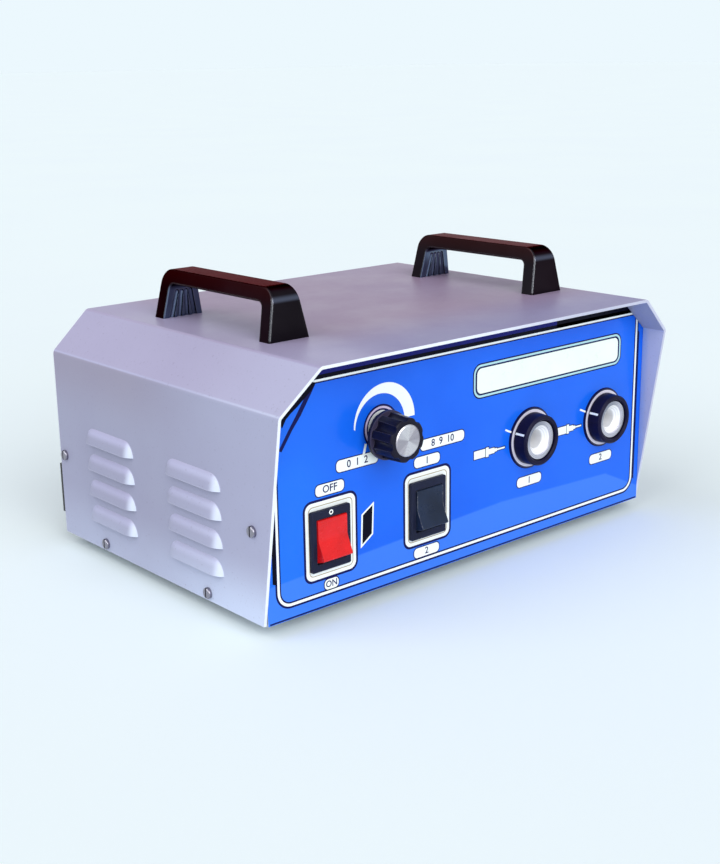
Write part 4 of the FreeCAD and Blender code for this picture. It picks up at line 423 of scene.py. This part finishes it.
def knob_aluminium(name):
    """The knob's cap, with the pale and dark sectors of a spun face painted on as a reflection."""
    n = Material(name)
    colour = turned_metal(n, (226, 222, 226), n.radius_from(*KNOB), 9.0, 0.3, 0.8)
    x, _, z = n.place()
    dx, dz = n.math("SUBTRACT", x, KNOB[0] * MM), n.math("SUBTRACT", z, KNOB[1] * MM)
    # A reflection painted as pale and dark sectors round the axis.
    turn = n.math("ARCTAN2", dz, dx)
    beams = n.math("SINE", n.math("ADD", n.product(turn, 2.0), 0.9))
    fine = n.product(n.math("SINE", n.product(turn, 11.0)), 0.25)
    sector_reflection = n.spread(n.math("ADD", beams, fine), -1.0, 1.1, 0.0, 0.6)
    n.colour(n.tint(colour, (128, 118, 134), sector_reflection))
    n.set(Metallic=1.0)
    return n.mat


def port_silver(name):
    """Both ports: a turned face with shade painted towards the upper left, round a bare matt white
    lining, and a matt ring with a dark rim behind the collar."""
    n = Material(name)
    near = n.math("MINIMUM", *(n.radius_from(*axis) for axis in PORTS.values()))
    colour = turned_metal(n, (202, 200, 212), near, 7.0, 0.26, 0.5)
    lining = (PORT_LINING - 0.3, PORT_LINING + 0.3)
    inside = n.spread(near, *lining, 1.0, 0.0)
    colour = n.tint(colour, (250, 250, 252), inside)
    outside = n.spread(near, *PORT_RING, 0.0, 1.0)
    colour = n.tint(colour, (226, 222, 238), outside)
    colour = n.tint(colour, (20, 22, 70), n.spread(near, *PORT_RIM, 0.0, 1.0))
    metal = n.math("SUBTRACT", 1.0, n.product(n.math("ADD", inside, outside), 0.9))
    # Painted shade: how far up and left of the nearer port's axis, as a share of the distance
    # from it.
    x, _, z = n.place()
    (a_x, axis_z), (b_x, _) = PORTS.values()
    at_b = n.product(n.math("GREATER_THAN", x, (a_x + b_x) / 2 * MM), (b_x - a_x) * MM)
    dx = n.math("SUBTRACT", n.math("SUBTRACT", x, a_x * MM), at_b)
    dz = n.math("SUBTRACT", z, axis_z * MM)
    towards = n.math("ADD", n.product(dx, -0.57), n.product(dz, 0.82))
    share = n.math("DIVIDE", n.product(towards, 1 / MM), n.math("MAXIMUM", near, 1.0))
    n.colour(n.tint(colour, (106, 111, 130), n.spread(share, 0.1, 1.0, 0.0, 0.6),
                    n.spread(near, *PORT_FACE, 1.0, 0.0), n.spread(near, *lining, 0.35, 1.0)))
    n.tree.links.new(metal, n.shader.inputs["Metallic"])
    return n.mat


def clear_glass(name):
    """Lamp glass with a little dust."""
    n = Material(name)
    dust = n.noise(160, 4, 0.7)
    n.colour(n.tint(linear((235, 246, 246)), (255, 255, 255), n.spread(dust, 0.3, 0.7, 0, 1)))
    n.rough(dust, 0.03, 0.15, 0.4, 0.8)
    n.set(Transmission_Weight=1.0, IOR=1.47)
    return n.mat


def reflector_glass(name):
    """Facetted dichroic mirror, a little purple."""
    n = Material(name)
    tone, gloss, distance = n.cells(330)
    n.colour(n.tint(linear((178, 176, 204)), (226, 226, 240), tone))
    n.rough(gloss, 0.08, 0.2, 0.0, 1.0)
    n.bump(distance, 0.3, 0.0004)
    n.set(Metallic=1.0)
    return n.mat


def core_steel(name):
    """The edges of the transformer's stacked sheets, 0.5 mm each, with a little rust."""
    n = Material(name)
    _, y, _ = n.place()
    rust = n.noise(45, 5, 0.7)
    n.colour(n.tint(linear((96, 96, 102)), (104, 76, 54), n.spread(rust, 0.5, 0.7, 0, 0.6)))
    n.rough(rust, 0.4, 0.65)
    n.bump(n.math("SINE", n.product(y, 2 * math.pi / (0.5 * MM))), 0.25, 0.0001)
    n.set(Metallic=0.7)
    return n.mat


def board_green(name):
    """Circuit board with paler tracks."""
    n = Material(name)
    tracks = n.add("ShaderNodeTexBrick", offset=0.5)
    tracks.inputs["Scale"].default_value = 90
    tracks.inputs["Mortar Size"].default_value = 0.03
    n.join(n.coord, "Object", tracks, "Vector")
    n.colour(n.tint(linear((24, 92, 46)), (48, 130, 70), tracks.outputs["Fac"]))
    n.rough(n.noise(300, 3), 0.25, 0.4)
    n.bump(tracks.outputs["Fac"], 0.2, 0.0001)
    return n.mat


# Each material slot's own function, or its values for finish_of.
LOOKS = {
    "cover_paint": cover_paint,
    "fascia_blue": fascia_blue,
    "zinc_sheet": zinc_sheet,
    "screw_steel": dict(rgb=(150, 146, 156), rough=0.24, metallic=1.0, vary=0.05, patch=90,
                        grain=2500, relief=0.02),
    "foot_rubber": dict(rgb=(26, 26, 28), rough=0.8, vary=0.2, relief=0.15),
    "handle_plastic": handle_plastic,
    "switch_black": dict(rgb=(30, 34, 56), rough=0.42, vary=0.12, patch=70, grain=3200,
                         relief=0.05, wear_and_highlight=0.15, level=0.1),
    "rocker_red": dict(rgb=(216, 20, 24), rough=0.26, vary=0.12, patch=90, grain=3000,
                       relief=0.02, wear_and_highlight=0.1, level=0.35),
    # The black rocker's pale edges are mostly a painted highlight.
    "rocker_black": dict(rgb=(27, 38, 60), rough=0.3, vary=0.25, patch=60, grain=3000,
                         relief=0.02, wear_and_highlight=0.9, edge_r=0.0008, level=0.2),
    "contact_brass": dict(rgb=(214, 178, 104), rough=0.3, metallic=1.0, patch=120),
    "knob_plastic": knob_plastic,
    "knob_aluminium": knob_aluminium,
    "port_silver": port_silver,
    "collar_black": dict(rgb=(20, 17, 46), rough=0.34, vary=0.2, patch=70, grain=2600,
                         relief=0.04, wear_and_highlight=0.12, level=0.1),
    "reflector_glass": reflector_glass,
    "clear_glass": clear_glass,
    "ceramic": dict(rgb=(226, 220, 204), rough=0.55, relief=0.1),
    "fan_plastic": dict(rgb=(27, 27, 30), rough=0.45, vary=0.15, relief=0.06, wear_and_highlight=0.2),
    "sink_black": dict(rgb=(29, 29, 34), rough=0.48, vary=0.18, patch=40, relief=0.06, wear_and_highlight=0.35),
    "core_steel": core_steel,
    "coil_tape": dict(rgb=(218, 184, 76), rough=0.42, vary=0.12, patch=60, relief=0.1),
    "board_green": board_green,
    "component_body": dict(rgb=(52, 66, 120), rough=0.35, vary=0.25, patch=50),
}
MATERIALS = {slot: look(slot) if callable(look) else finish_of(slot, **look)
             for slot, look in LOOKS.items()}
for part in frame["record"]["subparts"]:
    target = frame["nodes"][part["node"]]
    target.data.materials.clear()
    target.data.materials.append(MATERIALS[part["material_slot"]])

# Each ink's colour, how much it varies, and its specular level.
INK_LOOKS = {
    "white": ((246, 252, 250), 0.02, 0.3),
    "cream": ((238, 250, 238), 0.025, 0.3),
    "mint": ((176, 218, 224), 0.03, 0.3),
    "lilac": ((214, 200, 232), 0.03, 0.3),
    "deep_blue": ((26, 30, 116), 0.1, 0.1),
    "navy": ((16, 20, 84), 0.1, 0.1),
    "black": ((10, 10, 28), 0.1, 0.05),
    "tan": ((176, 160, 132), 0.06, 0.3),
}
INKS = {name: finish_of("ink_" + name, rgb, 0.3, vary=vary, patch=60, relief=0.02, level=level)
        for name, (rgb, vary, level) in INK_LOOKS.items()}


# ------------------------------------------------------------------ outlines, (x, z) in mm
def circle(cx, cz, r, start=0.0, sweep=360.0, steps=48):
    """Points of a circle, or of an arc with both its ends; degrees from +X towards +Z."""
    count = steps if abs(sweep) >= 360 else steps + 1
    angles = [math.radians(start + sweep * i / steps) for i in range(count)]
    return [(cx + r * math.cos(a), cz + r * math.sin(a)) for a in angles]


def pill(cx, cz, width, height, r):
    """A rectangle with corners of radius r."""
    points = []
    for sx, sz, a in ((1, 1, 0), (-1, 1, 90), (-1, -1, 180), (1, -1, 270)):
        points += circle(cx + sx * (width / 2 - r), cz + sz * (height / 2 - r), r, a, 90, 8)
    return points


def stroke(x0, z0, x1, z1, width):
    """A straight line of some width."""
    length = math.hypot(x1 - x0, z1 - z0)
    nx, nz = -(z1 - z0) / length * width / 2, (x1 - x0) / length * width / 2
    return [(x0 + nx, z0 + nz), (x0 - nx, z0 - nz), (x1 - nx, z1 - nz), (x1 + nx, z1 + nz)]


def above(z):
    """Height above the bench of a height above the cover's bottom edge."""
    return z + BASE_Z


# ------------------------------------------------------------------ ink on the fascia
def as_mesh(name, curve, y_front, thick):
    """The filled curve as a thin solid plate whose front is at y_front, mm."""
    curve.dimensions = "2D"
    curve.fill_mode = "BOTH"
    curve.extrude = thick / 2 * MM
    source = bpy.data.objects.new(name + "_curve", curve)
    mesh = bpy.data.meshes.new_from_object(source)
    bpy.data.objects.remove(source)
    back = (y_front + thick / 2) * MM
    mesh.transform(Matrix(((1, 0, 0, 0), (0, 0, -1, back), (0, 1, 0, 0), (0, 0, 0, 1))))
    return mesh


def placed(obj, colour, body):
    bpy.context.scene.collection.objects.link(obj)
    obj.data.materials.clear()
    obj.data.materials.append(INKS[colour])
    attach(obj, body)


def ink(name, loops, level, colour, y=FACE_Y):
    """Closed outlines on the case, filled; an outline inside another is a hole. The level is how
    many layers of ink lie there."""
    curve = bpy.data.curves.new(name, "CURVE")
    for loop in loops:
        spline = curve.splines.new("POLY")
        spline.points.add(len(loop) - 1)
        for point, (x, z) in zip(spline.points, loop):
            point.co = (x * MM, z * MM, 0, 1)
        spline.use_cyclic_u = True
    thick = INK * level
    mesh = as_mesh(name, curve, y - thick, thick)
    placed(bpy.data.objects.new(name, mesh), colour, "case")


def band(name, points, level, colour):
    """A closed outline whose heights are above the cover's bottom edge."""
    ink(name, [[(x, above(z)) for x, z in points]], level, colour)


def letters(name, text, cx, cz, size):
    """Navy lettering on top of a label."""
    curve = bpy.data.curves.new(name, "FONT")
    curve.body = text
    curve.size = size * MM
    curve.align_x = "CENTER"
    curve.align_y = "CENTER"
    curve.offset = size * 0.012 * MM
    curve.resolution_u = 4
    thick = INK * 3
    mesh = as_mesh(name, curve, FACE_Y - thick, thick)
    mesh.transform(Matrix.Translation((cx * MM, 0, cz * MM)))
    placed(bpy.data.objects.new(name, mesh), "navy", "case")


# The line round the fascia: half its width, its lower and upper height, its lower corners' radius.
EDGE_X, EDGE_LOW, EDGE_HIGH, EDGE_R = 131.9, above(7.5), above(113.3), 7.5
# The fascia's sloping corners: SLOPE_X * |x| + SLOPE_Z * height above the cover's edge = SLOPE_AT.
SLOPE_X, SLOPE_Z, SLOPE_AT = 0.6752, 0.7378, 169.4


def shoulder_z(x):
    """Height of the fascia's sloping corner at x."""
    return above((SLOPE_AT - SLOPE_X * abs(x)) / SLOPE_Z)


def shoulder_x(z):
    """Half the fascia's width at height z, between its sloping corners."""
    return (SLOPE_AT - SLOPE_Z * (z - BASE_Z)) / SLOPE_X


def border(name, inside, outside, level, colour, top_inside, top_outside):
    """The line round the fascia, cut off by the case's sloping shoulders at the top."""
    path = []
    for grow, order in ((outside, 1), (-inside, -1)):
        x, low, r = EDGE_X + grow, EDGE_LOW - grow, EDGE_R + grow
        side = [(-x, shoulder_z(x))] + circle(-x + r, low + r, r, 180, 90, 10)
        side += circle(x - r, low + r, r, 270, 90, 10) + [(x, shoulder_z(x))]
        path += side[::order]
    ink(name + "_round", [path], level, colour)
    low, high = EDGE_HIGH - top_inside, EDGE_HIGH + top_outside
    left, right = shoulder_x(low), shoulder_x(high)
    ink(name + "_top", [[(-left, low), (left, low), (right, high), (-right, high)]], level, colour)


border("border_shadow", 1.45, 1.75, 1, "navy", 1.5, 1.2)
border("border_line", 0.68, 0.68, 2, "white", 0.8, 0.3)


def strip(name, low, high, level, colour):
    """A band across the fascia's top, cut off by the shoulders."""
    wide, narrow = shoulder_x(above(low)), shoulder_x(above(high))
    band(name, [(-wide, low), (wide, low), (narrow, high), (-narrow, high)], level, colour)


# Dark bands outside the line: painted shadow of the hood along the top, over the line's black
# outline there, and beside the line on both sides; and a dark band along the bottom edge.
STRIP_LOW, STRIP_HIGH, STRIP_END = 113.6, 118.6, 62.0
strip("strip_top", 115.4, STRIP_HIGH, 1, "deep_blue")
strip("strip_black", STRIP_LOW, 115.6, 2, "black")
band("strip_right_end", [(STRIP_END, STRIP_LOW), (shoulder_x(above(STRIP_LOW)), STRIP_LOW),
                         (shoulder_x(above(STRIP_HIGH)), STRIP_HIGH), (STRIP_END, STRIP_HIGH)],
     2, "black")
band("strip_left", [(-135.2, 20.5), (-133.0, 19.5), (-133.0, 92.0), (-135.2, 90.0)], 2, "black")
band("strip_right", [(133.4, 14.0), (134.7, 12.5), (134.7, 101.0), (133.4, 103.0)], 1, "navy")
band("strip_bottom", [(-137.6, 0.3), (137.6, 0.3), (137.6, 1.1), (-137.6, 1.1)], 1, "navy")

# The sloping lines across the fascia's upper left corner; the black one, along the hood's edge, is
# a painted shadow.
band("corner_line", [(-105.9, 113.1), (-109.0, 113.1), (-112.6, 107.4), (-118.6, 98.8),
                     (-123.0, 93.0), (-129.4, 84.0), (-127.6, 83.2), (-121.0, 92.4),
                     (-115.8, 98.4), (-109.9, 107.0)], 1, "navy")
band("corner_hood_shadow", [(-106.4, 112.4), (-111.5, 113.6), (-129.0, 98.0), (-126.9, 94.3),
                     (-124.6, 98.0), (-121.6, 100.4), (-117.6, 102.9), (-113.7, 105.8),
                     (-109.5, 108.8)], 2, "black")

# Title plate, left bare.
TITLE = ((-1.9 + 117.6) / 2, above((85.7 + 103.1) / 2))
ink("title_outline", [pill(*TITLE, 120.9, 18.8, 5.6)], 1, "navy")
ink("title_line", [pill(*TITLE, 119.5, 17.4, 5.0), pill(*TITLE, 117.3, 15.2, 4.1)], 2, "mint")
ink("title_plate", [pill(*TITLE, 114.8, 13.4, 3.3)], 2, "cream")

# Frames round the two switches: x and z of the middle, width and height.
FRAMES = {"power": (-99.4, above(35.0), 31.2, 38.8), "lamp": (-35.15, above(35.5), 31.1, 38.0)}
for name, (fx, fz, fw, fh) in FRAMES.items():
    hole = pill(*SWITCHES[name], 24.0, 30.0, 1.0)
    line = [pill(fx, fz, fw - 3.6, fh - 3.6, 2.6), pill(fx, fz, fw - 4.5, fh - 4.5, 2.2)]
    ink(name + "_frame_outline", [pill(fx, fz, fw + 2.5, fh + 2.5, 4.9), hole], 1, "navy")
    ink(name + "_frame", [pill(fx, fz, fw, fh, 3.8), hole], 2, "white")
    # A tan line painted inside each frame as its shadow.
    ink(name + "_frame_shadow_line", line, 3, "tan")

# The mark for off, on the bezel above the power rocker.
OFF_MARK = (-100.9, above(48.7))
ink("off_mark", [circle(*OFF_MARK, 1.25), circle(*OFF_MARK, 0.7)], 1, "white", BEZEL_Y)

# Dial: a crescent that widens clockwise, and rings behind the knob.
OUTER_ARC = circle(-63.9, above(85.1), 19.9, 179.5, -179.0, 40)
INNER_ARC = circle(-66.9, above(83.95), 16.2, 4.4, 173.0, 40)
ink("dial_arc", [OUTER_ARC + INNER_ARC], 2, "white")
DIAL = (-66.4, 90.4)
ink("dial_ring_outline", [circle(*DIAL, 11.4), circle(*DIAL, 5.2)], 1, "navy")
ink("dial_ring", [circle(*DIAL, 10.4), circle(*DIAL, 9.3)], 2, "lilac")
ink("dial_ring_inner", [circle(*DIAL, 8.4), circle(*DIAL, 6.9)], 2, "white")

# Labels: text, x and height of the middle, width, height, size of the letters.
LABELS = {
    "power_off": ("OFF", -99.5, 59.7, 17.6, 5.6, 5.2),
    "power_on": ("ON", -99.6, 11.4, 8.8, 5.2, 4.6),
    "lamp_one": ("1", -35.4, 60.0, 17.8, 5.4, 5.2),
    "lamp_two": ("2", -35.8, 11.8, 17.6, 5.2, 5.0),
    "port_one": ("1", 42.0, 32.4, 19.4, 5.4, 5.2),
    "port_two": ("2", 102.9, 32.8, 19.4, 5.4, 5.2),
    "dial_low": ("0  1  2", -81.9, 69.1, 26.6, 5.8, 5.2),
    "dial_high": ("8  9  10", -24.4, 68.3, 31.0, 5.6, 5.2),
}
for name, (text, cx, cz, width, height, size) in LABELS.items():
    ink(name + "_outline", [pill(cx, above(cz), width + 1.0, height + 1.0, 2.6)], 1, "navy")
    ink(name + "_pill", [pill(cx, above(cz), width, height, 2.2)], 2, "white")
    letters(name + "_text", text, cx, above(cz), size)

# A plain slanting lozenge beside the power switch.
band("lozenge_outline", [(-71.6, 46.5), (-79.8, 41.6), (-80.6, 24.3), (-72.4, 29.8)], 1, "white")
band("lozenge", [(-72.6, 44.9), (-78.9, 41.1), (-79.5, 26.2), (-73.3, 30.4)], 2, "black")

# A small picture of a light guide's end beside each port: start and end of each of its steps, as
# shares of its length, and the step's height.
PICTURE_STEPS = ((0.0, 0.36, 4.4), (0.38, 0.47, 5.2), (0.47, 0.66, 3.0), (0.66, 0.74, 1.8),
                 (0.74, 1.0, 0.9))
PICTURE_Z = above(55.1)


def plug_picture(name, x, length):
    for grow, level, colour, tag in ((0.45, 1, "navy", "_outline"), (0.0, 2, "white", "")):
        for i, (start, end, height) in enumerate(PICTURE_STEPS):
            x0, x1 = x + start * length - grow, x + end * length + grow
            z0, z1 = PICTURE_Z - height / 2 - grow, PICTURE_Z + height / 2 + grow
            ink(name + tag + "_%d" % i, [[(x0, z0), (x1, z0), (x1, z1), (x0, z1)]], level, colour)


plug_picture("plug_picture_a", -1.4, 23.4)
plug_picture("plug_picture_b", 65.0, 19.9)

# The marks that show where the knob and the collars stand.
ink("dial_pointer", [stroke(-76.3, above(76.9), -77.8, above(71.9), 1.4)], 2, "white")
ink("index_a", [stroke(22.4, above(64.5), 27.6, above(62.1), 1.0)], 2, "white")
ink("index_b", [stroke(83.6, above(64.4), 88.6, above(62.2), 1.0)], 2, "white")
for port, axis in PORTS.items():
    ink("port_outline_" + port, [circle(*axis, r) for r in PORT_LINE], 1, "navy")


# ------------------------------------------------------------------ paint on the collars
BOX_FACES = [(2, 3, 7, 6), (0, 4, 5, 1), (0, 2, 6, 4), (1, 5, 7, 3), (0, 1, 3, 2), (4, 6, 7, 5)]


def collar_mark(port, body):
    """A white line painted along the collar's flank, at the lock pin's angle."""
    x, z = PORTS[port]
    angle = math.radians(LOCK_ANGLE)
    out = Vector((math.cos(angle), 0, math.sin(angle)))
    side = Vector((-math.sin(angle), 0, math.cos(angle)))
    verts = [(Vector((x, y, z)) + out * (r + lift) + side * half) * MM
             for r, y in COLLAR_FLANK for lift in (-0.1, 0.06) for half in (-0.6, 0.6)]
    mesh = bpy.data.meshes.new("collar_mark_" + port)
    mesh.from_pydata(verts, [], BOX_FACES)
    placed(bpy.data.objects.new("collar_mark_" + port, mesh), "white", body)


collar_mark("a", "collar_a")
collar_mark("b", "collar_b")


# ------------------------------------------------------------------ floor, light and camera
def floor():
    n = Material("floor_pale")
    pale = linear(BACKGROUND)
    n.colour(n.patches(3.0, 2, shade(pale, 1.025), shade(pale, 1.035)))
    n.set(Roughness=0.9, Specular_IOR_Level=0.1)
    mesh = bpy.data.meshes.new("floor")
    reach = 30.0
    corners = [(-reach, -reach, 0), (reach, -reach, 0), (reach, reach, 0), (-reach, reach, 0)]
    mesh.from_pydata(corners, [], [(0, 1, 2, 3)])
    mesh.materials.append(n.mat)
    obj = bpy.data.objects.new("floor", mesh)
    bpy.context.scene.collection.objects.link(obj)


def world():
    """Even light from all round, and a pale background where the world is seen or mirrored."""
    studio = bpy.data.worlds.new("studio")
    bpy.context.scene.world = studio
    studio.use_nodes = True
    g = Graph(studio.node_tree)
    light, seen = g.add("ShaderNodeBackground"), g.add("ShaderNodeBackground")
    light.inputs["Color"].default_value = (0.98, 0.97, 1.0, 1)
    light.inputs["Strength"].default_value = SKY_LIGHT
    seen.inputs["Color"].default_value = (*linear(BACKGROUND), 1)
    seen.inputs["Strength"].default_value = 1.0
    ray = g.add("ShaderNodeLightPath").outputs
    mirrored = g.math("MAXIMUM", ray["Is Glossy Ray"], ray["Is Transmission Ray"])
    shown = g.math("MAXIMUM", ray["Is Camera Ray"], mirrored)
    mix = g.add("ShaderNodeMixShader")
    g.tree.links.new(shown, mix.inputs["Fac"])
    g.join(light, 0, mix, 1)
    g.join(seen, 0, mix, 2)
    g.join(mix, 0, g.add("ShaderNodeOutputWorld"), "Surface")


def soft_sun(name, source, light, width):
    """A wide far lamp in the direction of source. The light is what a white face turned to it sends
    back, and the width is in degrees."""
    data = bpy.data.lights.new(name, "SUN")
    data.energy = light * math.pi
    data.angle = math.radians(width)
    obj = bpy.data.objects.new(name, data)
    obj.location = source
    obj.rotation_euler = (-Vector(source)).to_track_quat("-Z", "Y").to_euler()
    bpy.context.scene.collection.objects.link(obj)


def camera():
    yaw, pitch, roll = math.radians(YAW), math.radians(PITCH), math.radians(ROLL)
    level = math.cos(pitch)
    ahead = Vector((math.sin(yaw) * level, math.cos(yaw) * level, -math.sin(pitch)))
    right = ahead.cross(Vector((0, 0, 1))).normalized()
    down = ahead.cross(right)
    x = right * math.cos(roll) + down * math.sin(roll)
    y = right * math.sin(roll) - down * math.cos(roll)
    data = bpy.data.cameras.new("camera")
    data.sensor_width = 36.0
    data.lens = FOCAL / PHOTO_HEIGHT * 36.0
    data.clip_start, data.clip_end = 0.01, 100
    obj = bpy.data.objects.new("camera", data)
    turned = Matrix((x, y, -ahead)).transposed().to_4x4()
    obj.matrix_world = Matrix.Translation(EYE) @ turned
    bpy.context.scene.collection.objects.link(obj)
    bpy.context.scene.camera = obj


floor()
world()
soft_sun("front", (-0.2, -0.85, 0.5), FRONT_LIGHT, 50)
soft_sun("left", (-0.75, 0.1, 0.65), LEFT_LIGHT, 60)
camera()
bpy.context.scene.view_settings.view_transform = "Standard"
